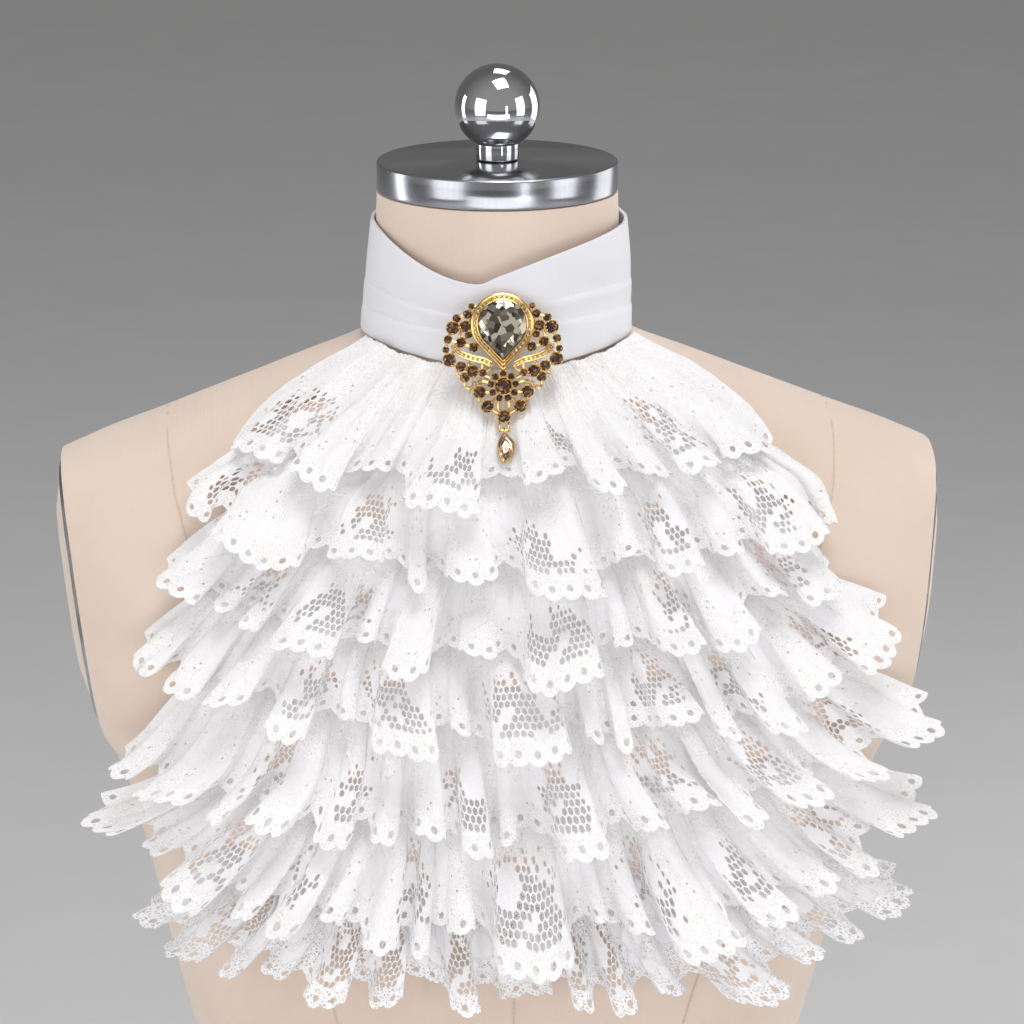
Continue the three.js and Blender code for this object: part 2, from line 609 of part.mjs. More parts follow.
function addBand() {
  const lap = THREE.MathUtils.degToRad(BAND.overlap);
  const columns = spread(-Math.PI - lap / 2, Math.PI + lap / 2, 36);
  const rows = [1, 0.7, 0.52, 0.42, 0.33, 0.24, 0].map((v) => ({ v, columns }));
  add('neck_band', wall(sheetOf(rows, bandPoint), BAND_WALL), 'cotton');
  BUTTON.heights.forEach((height, i) => {
    const { radius, thick } = BUTTON;
    const disc = turned([
      [0, 0], [radius - 0.5, 0], [radius, thick / 2], [radius - 0.8, thick], [0, thick - 0.5],
    ], 12);
    disc.rotateX(-Math.PI / 2);
    const outside = bandPoint(Math.PI, 0.5).y + BAND_WALL / 2 + SEAM_GAP;
    add(`button_${i + 1}`, placed(disc, 0, outside, height), 'shell');
  });
}

// Pear outline with its point down, moved out by a margin.
function pearOutline(margin, round = 12) {
  const reach = PEAR.middle - PEAR.tip;
  const radius = PEAR.radius + margin;
  const tangent = Math.acos(PEAR.radius / reach);
  const points = spread(-Math.PI / 2 + tangent, 1.5 * Math.PI - tangent, round)
    .map((turn) => new THREE.Vector2(radius * Math.cos(turn), PEAR.middle + radius * Math.sin(turn)));
  points.push(new THREE.Vector2(0, PEAR.middle - radius / Math.cos(tangent)));
  return points;
}

function stoneBody({ across, up, radius }, from, tall) {
  const cup = 0.9;
  const body = turned([
    [0, from], [radius + cup, from], [radius + cup, tall], [radius * 0.6, tall + BROOCH.stoneTall],
    [0, tall + BROOCH.stoneTall],
  ], 6);
  return placed(body, across, up, 0);
}

function addBrooch() {
  const group = new THREE.Group();
  group.position.set(...BROOCH.at);
  group.rotation.x = Math.PI / 2 - THREE.MathUtils.degToRad(BROOCH.lean);
  jabot.add(group);

  const half = BROOCH.thick / 2;
  const backing = new THREE.Shape([
    [-14, 19], [-22, 12], [-24.6, 1], [-17, -12], [-8, -25], [0, -29],
    [8, -25], [17, -12], [24.6, 1], [22, 12], [14, 19],
  ].reverse().map(([x, y]) => new THREE.Vector2(x, y)));
  const flat = { depth: BROOCH.thick, bevelEnabled: false, curveSegments: 8 };
  let body = toManifold(new THREE.ExtrudeGeometry(backing, flat).translate(0, 0, -half));
  const rim = new THREE.Shape(pearOutline(PEAR.rim));
  const rimDepth = { ...flat, depth: BROOCH.thick + 1.4 };
  body = body.add(toManifold(new THREE.ExtrudeGeometry(rim, rimDepth).translate(0, 0, -half)));
  const seat = new THREE.Shape(pearOutline(SEAM_GAP));
  body = body.subtract(toManifold(new THREE.ExtrudeGeometry(seat, rimDepth).translate(0, 0, half)));
  const sides = SIDE_STONES.flatMap((stone) => [stone, { ...stone, across: -stone.across }]);
  for (const stone of [...sides, ...MID_STONES]) {
    body = body.add(toManifold(stoneBody(stone, -half, half)));
  }
  const ear = (x) => new THREE.BoxGeometry(0.8, 4.4, 1.4).translate(x, DROP.below + 1.6, 0);
  const pin = new THREE.CylinderGeometry(DROP.pin, DROP.pin, 4.6, 8).rotateZ(Math.PI / 2);
  for (const piece of [ear(-1.9), ear(1.9), placed(pin, 0, DROP.below, 0)]) {
    body = body.add(toManifold(piece));
  }
  add('brooch_setting', fromManifold(body), 'gold', group);

  const ringAt = (margin, height) => pearOutline(margin, 11).map((p) => new THREE.Vector3(p.x, p.y, height));
  const crystal = loft([
    ringAt(-1.5, half + SEAM_GAP), ringAt(0, half + 1.2), ringAt(0, half + 1.6), ringAt(-4.6, half + PEAR.tall),
  ]);
  add('brooch_crystal', crystal, 'crystal', group);

  group.updateMatrixWorld();
  const pivot = new THREE.Group();
  pivot.position.copy(group.localToWorld(new THREE.Vector3(0, DROP.below, 0)));
  pivot.rotation.x = Math.PI / 2 - THREE.MathUtils.degToRad(DROP.lean);
  jabot.add(pivot);
  const top = -(DROP.eye + DROP.eyeRim);
  const stone = turned([
    [0, top - DROP.tall], [DROP.wide * 0.28, top - DROP.tall + 1.2], [DROP.wide / 2, top - DROP.tall * 0.66],
    [DROP.wide * 0.4, top - DROP.tall * 0.34], [DROP.wide * 0.14, top + 0.4], [0, top + 0.4],
  ], 10).rotateX(-Math.PI / 2).scale(1, 1, DROP.thick / DROP.wide);
  const eye = turned([
    [DROP.eye, -DROP.eyeRim / 2], [DROP.eye + DROP.eyeRim, -DROP.eyeRim / 2],
    [DROP.eye + DROP.eyeRim, DROP.eyeRim / 2], [DROP.eye, DROP.eyeRim / 2], [DROP.eye, -DROP.eyeRim / 2],
  ], 12).rotateY(Math.PI / 2);
  add('brooch_drop', fromManifold(toManifold(stone).add(toManifold(eye))), 'topaz', pivot);
}

addForm();
addNeckFittings();
addBib();
TIERS.forEach(addTier);
addBand();
addBrooch();

export default jabot;
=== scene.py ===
# %% [markdown]
# # A lace jabot on a dress form
#
# A jabot is a fall of gathered lace that hangs from a neck band. This notebook dresses a packed
# CAD model of one: the model fixes every size and place, and the cells below give each piece the
# shape and finish of the real thing. Lengths are in millimetres until a mesh is made, because
# that is how a maker measures lace, and Blender itself works in metres.

import math

import bpy
import numpy as np
from mathutils import Matrix, Vector


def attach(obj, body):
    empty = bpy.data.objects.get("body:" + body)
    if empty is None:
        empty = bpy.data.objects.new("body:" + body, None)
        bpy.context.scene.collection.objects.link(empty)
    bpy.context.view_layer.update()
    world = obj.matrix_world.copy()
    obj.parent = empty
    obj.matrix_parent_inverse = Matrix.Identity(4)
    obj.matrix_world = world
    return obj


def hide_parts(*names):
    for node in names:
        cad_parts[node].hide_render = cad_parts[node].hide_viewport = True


MM = 0.001
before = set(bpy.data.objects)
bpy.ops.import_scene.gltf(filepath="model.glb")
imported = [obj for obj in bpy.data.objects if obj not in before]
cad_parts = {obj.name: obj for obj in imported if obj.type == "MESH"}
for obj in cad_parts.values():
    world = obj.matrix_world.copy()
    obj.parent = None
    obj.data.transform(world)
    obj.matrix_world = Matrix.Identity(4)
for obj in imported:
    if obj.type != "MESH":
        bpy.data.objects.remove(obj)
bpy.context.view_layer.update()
RIDES_ON = "form_and_jabot"

# %% [markdown]
# ## Camera, light and floor
#
# The camera stands two metres away with a long lens, a little above the shoulders, as for a
# catalogue picture. A wide lens close by could frame the same view, but it would swell the
# nearest folds.

# %% Camera
CAMERA_TURN = math.radians(-3.5)
CAMERA_RISE = math.radians(14.5)
CAMERA_DISTANCE = 2.0
CAMERA_TARGET = Vector((2.8, -60, 560)) * MM

camera_data = bpy.data.cameras.new("camera")
camera_data.lens = 162
camera_data.sensor_width = 36
camera_data.clip_end = 50
camera = bpy.data.objects.new("camera", camera_data)
bpy.context.scene.collection.objects.link(camera)
towards_camera = Vector((
    math.sin(CAMERA_TURN) * math.cos(CAMERA_RISE),
    -math.cos(CAMERA_TURN) * math.cos(CAMERA_RISE),
    math.sin(CAMERA_RISE),
))
camera.location = CAMERA_TARGET + towards_camera * CAMERA_DISTANCE
camera.rotation_euler = towards_camera.to_track_quat("Z", "Y").to_euler()
bpy.context.scene.camera = camera
bpy.context.scene.view_settings.view_transform = "Standard"
print("camera at, in metres:", [round(value, 3) for value in camera.location])

# %% [markdown]
# White lace needs soft light with a direction, so that its folds shade. The key lamp hangs
# overhead. A lamp like a window on each side and a low reflector keep the shadows open, where one
# lamp alone would leave the deep folds black, and narrow strips draw bright edges on the steel.

# %% Light
LAMPS = {
    "key_lamp": {"at": (0.3, -0.7, 3.1), "size": (1.3, 1.3), "power": 37},
    "back_lamp": {"at": (0.3, 1.1, 2.7), "size": (0.9, 0.9), "power": 6},
    "low_reflector": {"at": (0.0, -1.5, 0.12), "size": (1.8, 0.5), "power": 6},
    "window_left": {"at": (-1.5, -1.25, 0.85), "size": (1.1, 1.5), "power": 12},
    "window_right": {"at": (1.75, -0.9, 0.85), "size": (0.9, 1.5), "power": 10},
    "strip_left": {"at": (-1.9, 0.6, 0.6), "size": (0.4, 1.4), "power": 8},
    "strip_right": {"at": (1.6, 0.9, 0.6), "size": (1.0, 1.4), "power": 9},
    "strip_front": {"at": (0.9, -2.2, 0.5), "size": (0.2, 1.2), "power": 4},
}
for lamp_name, lamp in LAMPS.items():
    lamp_data = bpy.data.lights.new(lamp_name, "AREA")
    lamp_data.energy = lamp["power"]
    lamp_data.shape = "RECTANGLE"
    lamp_data.size, lamp_data.size_y = lamp["size"]
    lamp_object = bpy.data.objects.new(lamp_name, lamp_data)
    bpy.context.scene.collection.objects.link(lamp_object)
    lamp_object.location = lamp["at"]
    lamp_object.rotation_euler = (Vector(lamp["at"]) - CAMERA_TARGET).to_track_quat("Z", "Y").to_euler()
print("lamps:", ", ".join(LAMPS))

# %% [markdown]
# Colours are picked as a screen shows them, in sRGB, while Blender mixes light in linear values,
# so one function turns the first into the second. Another adds any shader node with its values
# and links, which keeps each finish below a short list of what it is made of.

# %% Colours and nodes
def linear(hex_colour):
    """The linear colour of an sRGB hex value."""
    channels = [int(hex_colour[i:i + 2], 16) / 255 for i in (1, 3, 5)]
    return [c / 12.92 if c <= 0.04045 else ((c + 0.055) / 1.055) ** 2.4 for c in channels] + [1.0]


def add_node(tree, kind, inputs=None, **settings):
    """Adds a node. A setting is one of its properties; an input is a value or another node's output."""
    made = tree.nodes.new(kind)
    for name, value in settings.items():
        setattr(made, name, value)
    for name, value in (inputs or {}).items():
        if isinstance(value, bpy.types.NodeSocket):
            tree.links.new(value, made.inputs[name])
        else:
            made.inputs[name].default_value = value
    return made


def new_material(name, **constants):
    """A material with one Principled shader, whose fixed values are set on its own sockets."""
    material = bpy.data.materials.new(name)
    material.use_nodes = True
    shader = material.node_tree.nodes["Principled BSDF"]
    for socket, value in constants.items():
        shader.inputs[socket.replace("_", " ")].default_value = value
    print("finish:", name)
    return material, material.node_tree, shader


# %% [markdown]
# The room is brighter on the camera's side than behind the form, which gives the steel something
# to mirror. The floor could be a modelled sweep, but a wide plane of pale paper does the same
# for a part that stands on a flat base.

# %% Room and floor
world = bpy.data.worlds.new("studio")
bpy.context.scene.world = world
world.use_nodes = True
sky = world.node_tree.nodes["Background"]
sky.inputs["Color"].default_value = linear("#F3F1EE")
facing = add_node(
    world.node_tree, "ShaderNodeSeparateXYZ",
    {"Vector": add_node(world.node_tree, "ShaderNodeTexCoord").outputs["Generated"]},
)
glow = add_node(
    world.node_tree, "ShaderNodeMapRange",
    {"Value": facing.outputs["Y"], "From Min": -0.5, "From Max": 0.5, "To Min": 0.5, "To Max": 0.2},
)
world.node_tree.links.new(glow.outputs["Result"], sky.inputs["Strength"])

bpy.ops.object.select_all(action="DESELECT")
bpy.ops.mesh.primitive_plane_add(size=20, location=(0, 0, 0))
floor = bpy.context.object
floor.name = "floor"
floor_paint, floor_tree, floor_shader = new_material("pale_studio_paper", Roughness=0.9)
paper_grain = add_node(floor_tree, "ShaderNodeTexNoise", {"Scale": 300.0, "Detail": 3.0})
paper_tint = add_node(floor_tree, "ShaderNodeValToRGB", {"Fac": paper_grain.outputs["Fac"]})
paper_tint.color_ramp.elements[0].color = linear("#CACACC")
paper_tint.color_ramp.elements[1].color = linear("#D0D0D2")
floor_tree.links.new(paper_tint.outputs["Color"], floor_shader.inputs["Base Color"])
floor.data.materials.append(floor_paint)

# %% [markdown]
# ## The shape of the form
#
# A dress form is described by level sections, as a tailor's block is. Each section is an oval
# with its own half width, front and back depth, and a number that says how square it is. Values
# between the rows come from a cubic that never overshoots them. The form could be sculpted, but
# the same numbers shape the CAD model, so a point found here lies where its solid is.

# %% Sections of the form
SECTION_Z, HALF, FRONT, BACK, SQUARE = np.array([
    [0, 168, 112, 118, 2.3], [60, 172, 112, 120, 2.3], [130, 160, 104, 108, 2.3],
    [230, 123, 92, 80, 2.2], [301, 137, 103, 88, 2.2], [342, 147, 110, 96, 2.3],
    [400, 160, 116, 107, 2.4], [438, 171, 114, 112, 2.4], [455, 182, 112, 114, 2.4],
    [473, 197, 110, 115, 2.4], [490, 206, 107, 115, 2.4], [520, 213, 100, 112, 2.3],
    [550, 213, 92, 105, 2.1], [568, 205, 87, 98, 2.0], [580, 183, 83, 92, 1.9],
    [592, 152, 78, 84, 1.85], [604, 121, 72, 74, 1.85], [616, 90, 65, 62, 1.9],
    [625, 65, 59, 55.5, 2.0], [630, 56.5, 56.5, 53, 2.0], [644, 55.5, 56, 52, 2.0],
    [664, 54, 54, 51.5, 2.0], [691, 53, 52.5, 52, 2.0],
]).T
NECK_TOP = SECTION_Z[-1]
BUST = {"z": 400, "across": 82, "wide": 50, "tall": 65, "rise": 14}
CHEST_FALL = {"z": 500, "half": 209, "slope": 0.25}


def lerp(a, b, t):
    return a + (b - a) * t


def smooth_at(column, z):
    """Value of a section column at the heights z, by a cubic that never overshoots its rows."""
    rise = np.diff(column) / np.diff(SECTION_Z)
    before, after = rise[:-1], rise[1:]
    total = np.where(before * after > 0, before + after, 1)
    inner = np.where(before * after > 0, 2 * before * after / total, 0)
    slope = np.concatenate([rise[:1], inner, rise[-1:]])
    i = np.clip(np.searchsorted(SECTION_Z, z, side="right") - 1, 0, len(SECTION_Z) - 2)
    span = SECTION_Z[i + 1] - SECTION_Z[i]
    t = np.clip((z - SECTION_Z[i]) / span, 0, 1)
    a, b, u, w = column[i], column[i + 1], slope[i] * span, slope[i + 1] * span
    return a + t * (u + t * (3 * (b - a) - 2 * u - w + t * (2 * (a - b) + u + w)))


def half_at(z, hang=0):
    """Half width at z. Lace that hangs falls straight below the chest instead of following it."""
    half = smooth_at(HALF, z)
    fall = CHEST_FALL["half"] - CHEST_FALL["slope"] * (CHEST_FALL["z"] - z)
    return lerp(half, np.where(z < CHEST_FALL["z"], np.maximum(half, fall), half), hang)


def front_at(x, z):
    away = ((np.abs(x) - BUST["across"]) / BUST["wide"]) ** 2 + ((z - BUST["z"]) / BUST["tall"]) ** 2
    return smooth_at(FRONT, z) + BUST["rise"] * np.exp(-away)


def skin(angle, z, hang=0):
    """Points of the form's surface. Angle 0 is the middle of the front."""
    power = 2 / smooth_at(SQUARE, z)
    s, c = np.sin(angle), np.cos(angle)
    x = half_at(z, hang) * np.sign(s) * np.abs(s) ** power
    bare = front_at(x, z)
    hung = front_at(x, np.maximum(z, BUST["z"]))
    depth = np.where(c > 0, lerp(bare, np.maximum(hung, bare), hang), smooth_at(BACK, z))
    return np.stack([x, -depth * np.sign(c) * np.abs(c) ** power, z + 0 * x], axis=-1)


def unit(vectors):
    return vectors / np.maximum(np.linalg.norm(vectors, axis=-1, keepdims=True), 1e-9)


def skin_frame(angle, z, hang=0):
    """The directions along the surface and straight out of it."""
    along = unit(skin(angle + 0.02, z, hang) - skin(angle - 0.02, z, hang))
    up = unit(skin(angle, z + 1.5, hang) - skin(angle, z - 1.5, hang))
    return along, unit(np.cross(along, up))


def angle_at(x, z, hang=0):
    ratio = np.minimum(np.abs(x) / half_at(z, hang), 0.995)
    return np.sign(x) * np.arcsin(ratio ** (smooth_at(SQUARE, z) / 2))


print("shoulder half width at z 573:", float(half_at(573.0)))

# %% [markdown]
# ## Making a piece
#
# Every piece ends the same way: its object at the origin, its place in its mesh, smooth faces
# with crisp edges where it turns sharply, a material, and the CAD body that it rides on.

# %% Finishing a piece
def select_only(piece):
    """Makes a piece the one that is selected and active."""
    bpy.ops.object.select_all(action="DESELECT")
    piece.select_set(True)
    bpy.context.view_layer.objects.active = piece


def finish_piece(piece, material, crisp=45, body=RIDES_ON, stands_for=()):
    """Applies place and shading, gives the material, and fixes the piece to its CAD body."""
    select_only(piece)
    bpy.ops.object.transform_apply(location=True, rotation=True, scale=True)
    bpy.ops.object.shade_smooth_by_angle(angle=math.radians(crisp))
    piece.data.materials.clear()
    piece.data.materials.append(material)
    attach(piece, body)
    if stands_for:
        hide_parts(*stands_for)
    print("piece:", piece.name, "faces:", len(piece.data.polygons))
    return piece


def mesh_piece(name, points, faces):
    """A new object from points in millimetres."""
    mesh = bpy.data.meshes.new(name)
    mesh.from_pydata((np.asarray(points) * MM).tolist(), [], [list(map(int, f)) for f in faces])
    piece = bpy.data.objects.new(name, mesh)
    bpy.context.scene.collection.objects.link(piece)
    return piece


def apply_modifier(piece, kind, **settings):
    """Adds a modifier and applies it."""
    select_only(piece)
    modifier = piece.modifiers.new(kind.lower(), kind)
    for name, value in settings.items():
        setattr(modifier, name, value)
    bpy.ops.object.modifier_apply(modifier=modifier.name)


def round_edges(piece, width, segments, sharper_than):
    """Bevels a piece's edges by a width in mm, where they turn by more than an angle in degrees."""
    apply_modifier(
        piece, "BEVEL", width=width * MM, segments=segments, limit_method="ANGLE",
        angle_limit=math.radians(sharper_than),
    )


def select_parts(piece, kind, rule):
    """Enters edit mode with only the vertices or faces selected for which rule(part) is true."""
    select_only(piece)
    bpy.ops.object.mode_set(mode="EDIT")
    bpy.ops.mesh.select_mode(type=kind)
    bpy.ops.mesh.select_all(action="DESELECT")
    bpy.ops.object.mode_set(mode="OBJECT")
    for part in piece.data.vertices if kind == "VERT" else piece.data.polygons:
        part.select = rule(part)
    bpy.ops.object.mode_set(mode="EDIT")


def grid_faces(rows, columns, closed=False):
    """Quads over a grid of points, row after row, with the columns joined up if closed."""
    faces = []
    for r in range(rows - 1):
        for k in range(columns if closed else columns - 1):
            a, b = r * columns + k, r * columns + (k + 1) % columns
            faces.append((a, b, b + columns, a + columns))
    return faces


# %% [markdown]
# ## Finishes
#
# No real surface has one even colour. Most finishes here run softly between two near shades,
# by a noise or a wave that reads a point's place on the object. A painted image could do this
# too, but a pattern of nodes has no seams and no pixels.

# %% Two shades and a pattern
def two_tone(name, pattern, inputs, shades, spread=(0.0, 1.0), settings=None, **constants):
    """A material whose colour runs between two shades by a pattern on object coordinates."""
    material, tree, shader = new_material(name, **constants)
    place = add_node(tree, "ShaderNodeTexCoord").outputs["Object"]
    marks = add_node(tree, pattern, {"Vector": place, **inputs}, **(settings or {}))
    tint = add_node(tree, "ShaderNodeValToRGB", {"Fac": marks.outputs["Fac"]})
    for stop, position, shade in zip(tint.color_ramp.elements, spread, shades):
        stop.position = position
        stop.color = linear(shade)
    tree.links.new(tint.outputs["Color"], shader.inputs["Base Color"])
    return material, tree, shader, place, marks


# %% [markdown]
# The form's cover is a cotton jersey: fine ribs that run up and down, a soft nap, and slightly
# warmer patches where the padding below takes up the light. Its rib of about half a millimetre
# is drawn at 1.4 mm, because a finer one would not show.

# %% Jersey
def make_jersey():
    material, tree, shader, place, _ = two_tone(
        "cotton_jersey", "ShaderNodeTexNoise", {"Scale": 14.0, "Detail": 4.0}, ("#D4C0B0", "#DDCCBF"),
        spread=(0.3, 0.72), Roughness=0.88, Sheen_Weight=0.25,
    )
    ribs = add_node(
        tree, "ShaderNodeTexWave", {"Vector": place, "Scale": 230.0, "Distortion": 1.2, "Detail": 1.0},
        bands_direction="X",
    )
    nap = add_node(tree, "ShaderNodeTexNoise", {"Vector": place, "Scale": 900.0, "Detail": 2.0})
    height = add_node(
        tree, "ShaderNodeMath", {0: ribs.outputs["Fac"], 1: nap.outputs["Fac"]}, operation="ADD",
    )
    bump = add_node(
        tree, "ShaderNodeBump", {"Height": height.outputs[0], "Strength": 0.1, "Distance": 0.0004},
    )
    tree.links.new(bump.outputs["Normal"], shader.inputs["Normal"])
    return material


jersey = make_jersey()

# %% [markdown]
# The metal parts are turned stainless steel. Turning leaves fine rings round the axis, which
# smear a highlight into a fan on the flat top and into upright streaks on the rim: the shader's
# anisotropy does that once it is told which way the rings run. The ball is the same metal
# polished and plated with chromium, so it has no grain at all.

# %% Steel and chrome
def make_turned_steel():
    material, tree, shader, _, _ = two_tone(
        "turned_stainless_steel", "ShaderNodeTexWave", {"Scale": 700.0, "Distortion": 0.6, "Detail": 2.0},
        ("#9C9DA4", "#C8C9CE"), settings={"wave_type": "RINGS", "rings_direction": "Z"},
        Metallic=1.0, Roughness=0.15, Anisotropic=0.9,
    )
    tangent = add_node(tree, "ShaderNodeTangent", direction_type="RADIAL", axis="Z")
    tree.links.new(tangent.outputs["Tangent"], shader.inputs["Tangent"])
    return material


turned_steel = make_turned_steel()
chrome = two_tone(
    "polished_chrome", "ShaderNodeTexNoise", {"Scale": 60.0, "Detail": 3.0}, ("#BCBDC1", "#C8C9CD"),
    Metallic=1.0, Roughness=0.04,
)[0]

# %% [markdown]
# ## The dress form
#
# The real form is a padded shell with a jersey cover. One smooth body is lofted from the
# sections and then sliced at each armhole, which leaves the torso, a thin steel edge plate and a
# covered cap on each side. Slicing one body keeps the three in line, as they are on the form.

# %% Torso, plates and caps
ARMHOLE = {"top": (194.3, 580), "bottom": (178.8, 470), "gap": 0.3, "plate": 1.5, "cap": 3.8}
PLATE_SHARE, CAP_SHARE, CROWN_SHARE = 0.92, 0.87, 0.66
ARM_FROM = 300
FORM_AROUND = 144
FORM_LEVELS = np.concatenate([
    np.linspace(0, 400, 45), np.linspace(405, 560, 32), np.linspace(563, 634, 32),
    np.linspace(638, NECK_TOP, 12),
])


def form_body(name, foot=0):
    """The body from a foot level up to the neck, as one closed mesh."""
    angles = np.linspace(-math.pi, math.pi, FORM_AROUND, endpoint=False)
    levels = FORM_LEVELS[FORM_LEVELS >= foot]
    points = np.concatenate([skin(angles, np.full(FORM_AROUND, z)) for z in levels])
    faces = grid_faces(len(levels), FORM_AROUND, closed=True)
    last = (len(levels) - 1) * FORM_AROUND
    faces.append(tuple(range(FORM_AROUND))[::-1])
    faces.append(tuple(range(last, last + FORM_AROUND)))
    return mesh_piece(name, points, faces)


def armhole_frame(side):
    """The place and turn of one armhole: its x axis points straight out of the body."""
    (top_x, top_z), (low_x, low_z) = ARMHOLE["top"], ARMHOLE["bottom"]
    turn = Matrix.Rotation(math.atan2(top_x - low_x, top_z - low_z), 4, "Y")
    middle = Matrix.Translation(Vector(((top_x + low_x) / 2, 0, (top_z + low_z) / 2)) * MM)
    return Matrix.Rotation(math.pi if side < 0 else 0, 4, "Z") @ middle @ turn


def cut_away(piece, side, distance, keep_inside):
    """Slices a piece above the waist along one side's armhole plane, moved outwards by a distance."""
    frame_here = armhole_frame(side)
    outwards = frame_here.to_3x3() @ Vector((1, 0, 0))
    select_parts(piece, "VERT", lambda vertex: vertex.co.z > (ARM_FROM - 1) * MM)
    bpy.ops.mesh.bisect(
        plane_co=frame_here.to_translation() + outwards * distance * MM, plane_no=outwards, use_fill=True,
        clear_outer=keep_inside, clear_inner=not keep_inside,
    )
    bpy.ops.object.mode_set(mode="OBJECT")


def armhole_slice(name, side, start, thick, inner_share, outer_share):
    """A slice of the body beyond an armhole, narrowed towards its middle."""
    piece = form_body(name, ARM_FROM)
    cut_away(piece, side, start, keep_inside=False)
    cut_away(piece, side, start + thick, keep_inside=True)
    frame_here = armhole_frame(side)
    piece.data.transform(frame_here.inverted())
    corners = np.array([vertex.co for vertex in piece.data.vertices])
    middle = (corners.min(axis=0) + corners.max(axis=0)) / 2
    for vertex in piece.data.vertices:
        share = lerp(inner_share, outer_share, (vertex.co.x / MM - start) / thick)
        vertex.co.y = lerp(middle[1], vertex.co.y, share)
        vertex.co.z = lerp(middle[2], vertex.co.z, share)
    piece.data.transform(frame_here)
    return piece


torso = form_body("torso_cover")
for side in (-1, 1):
    cut_away(torso, side, 0, keep_inside=True)
round_edges(torso, 1.6, 3, sharper_than=40)
finish_piece(torso, jersey, crisp=50, stands_for=["form_torso"])

plate_end = ARMHOLE["gap"] + ARMHOLE["plate"]
for side, side_name in ((-1, "left"), (1, "right")):
    plate = armhole_slice(
        f"armhole_edge_{side_name}", side, ARMHOLE["gap"], ARMHOLE["plate"], PLATE_SHARE, PLATE_SHARE,
    )
    finish_piece(plate, turned_steel, crisp=40, stands_for=[f"armhole_plate_{side_name}"])
    cap = armhole_slice(
        f"armhole_cover_{side_name}", side, plate_end + ARMHOLE["gap"], ARMHOLE["cap"],
        CAP_SHARE, CROWN_SHARE,
    )
    round_edges(cap, 2.5, 4, sharper_than=12)
    finish_piece(cap, jersey, crisp=50, stands_for=[f"armhole_cap_{side_name}"])

# %% [markdown]
# The cover is cut in panels, and its seams show as fine ridges of thread: one down each side of
# the chest from the shoulder, one down the middle of the front, and the same three behind. They
# could be bump in the jersey, but a ridge also shows where it meets the outline. Each seam is a
# narrow strip that lies on the surface, along points that a dressmaker would mark on it.

# %% Seams of the cover
SEAM = {"wide": 0.9, "lift": 0.12, "crown": 0.25, "step": 4.0}


def strip_on_form(name, marks, back):
    """A strip along marks of (x, z) on the front or back of the form."""
    marks = np.array(marks, float)
    along = np.concatenate([[0], np.cumsum(np.linalg.norm(np.diff(marks, axis=0), axis=1))])
    at = np.linspace(0, along[-1], max(int(along[-1] / SEAM["step"]), 2))
    x, z = np.interp(at, along, marks[:, 0]), np.interp(at, along, marks[:, 1])
    angle = angle_at(x, z)
    if back:
        angle = math.pi - angle
    middle = skin(angle, z)
    out = skin_frame(angle, z)[1]
    aside = unit(np.cross(out, unit(np.gradient(middle, axis=0)))) * SEAM["wide"] / 2
    crown = middle + out * (SEAM["lift"] + SEAM["crown"])
    rows = np.stack([middle - aside + out * SEAM["lift"], crown, middle + aside + out * SEAM["lift"]])
    return mesh_piece(name, rows.reshape(-1, 3), grid_faces(3, len(at)))


seam_thread = two_tone(
    "seam_thread", "ShaderNodeTexWave", {"Scale": 120.0, "Distortion": 0.5}, ("#CDB6A4", "#D3BEAD"),
    settings={"bands_direction": "Z"}, Roughness=0.85,
)[0]
SEAM_MARKS = {
    "seam_shoulder_left": ([(-147, 594), (-143, 570), (-132, 530), (-118, 480), (-98, 420), (-80, 360),
                            (-64, 290), (-58, 230), (-68, 140), (-76, 60), (-78, 2)], False),
    "seam_middle_front": ([(0.5, 600), (0.5, 400), (0.5, 2)], False),
    "seam_middle_back": ([(0.5, 622), (0.5, 400), (0.5, 2)], True),
    "seam_back_left": ([(-147, 594), (-140, 560), (-112, 480), (-84, 400), (-62, 300), (-54, 230),
                        (-70, 120), (-80, 2)], True),
}
for seam_name, (marks, back) in SEAM_MARKS.items():
    strips = {seam_name: marks}
    if seam_name.endswith("left"):
        strips[seam_name.replace("left", "right")] = [(-x, z) for x, z in marks]
    for strip_name, strip_marks in strips.items():
        finish_piece(strip_on_form(strip_name, strip_marks, back), seam_thread, crisp=60)

# %% [markdown]
# ## Neck disc and ball
#
# Both are turned on a lathe. A profile could be spun round the axis, but shapes as plain as these
# are quicker as primitives, with the edges bevelled as the maker breaks them.

# %% Disc
NECK_DISC = {"radius": 53, "foot": NECK_TOP + 0.3, "tall": 13, "edge": 1.0}


def add_cylinder(name, radius, tall, at, turn=(0, 0, 0), sides=32):
    bpy.ops.object.select_all(action="DESELECT")
    bpy.ops.mesh.primitive_cylinder_add(
        vertices=sides, radius=radius * MM, depth=tall * MM, location=Vector(at) * MM, rotation=turn,
    )
    made = bpy.context.object
    made.name = name
    bpy.ops.object.transform_apply(location=True, rotation=True, scale=True)
    return made


neck_disc = add_cylinder(
    "neck_disc", NECK_DISC["radius"], NECK_DISC["tall"], (0, 0, NECK_DISC["foot"] + NECK_DISC["tall"] / 2),
    sides=128,
)
round_edges(neck_disc, NECK_DISC["edge"], 3, sharper_than=50)
finish_piece(neck_disc, turned_steel, crisp=35, stands_for=["neck_cap"])

# %% [markdown]
# The ball screws into the disc through a short collar. The sphere sinks a little into the collar,
# as the real one is blended into it.

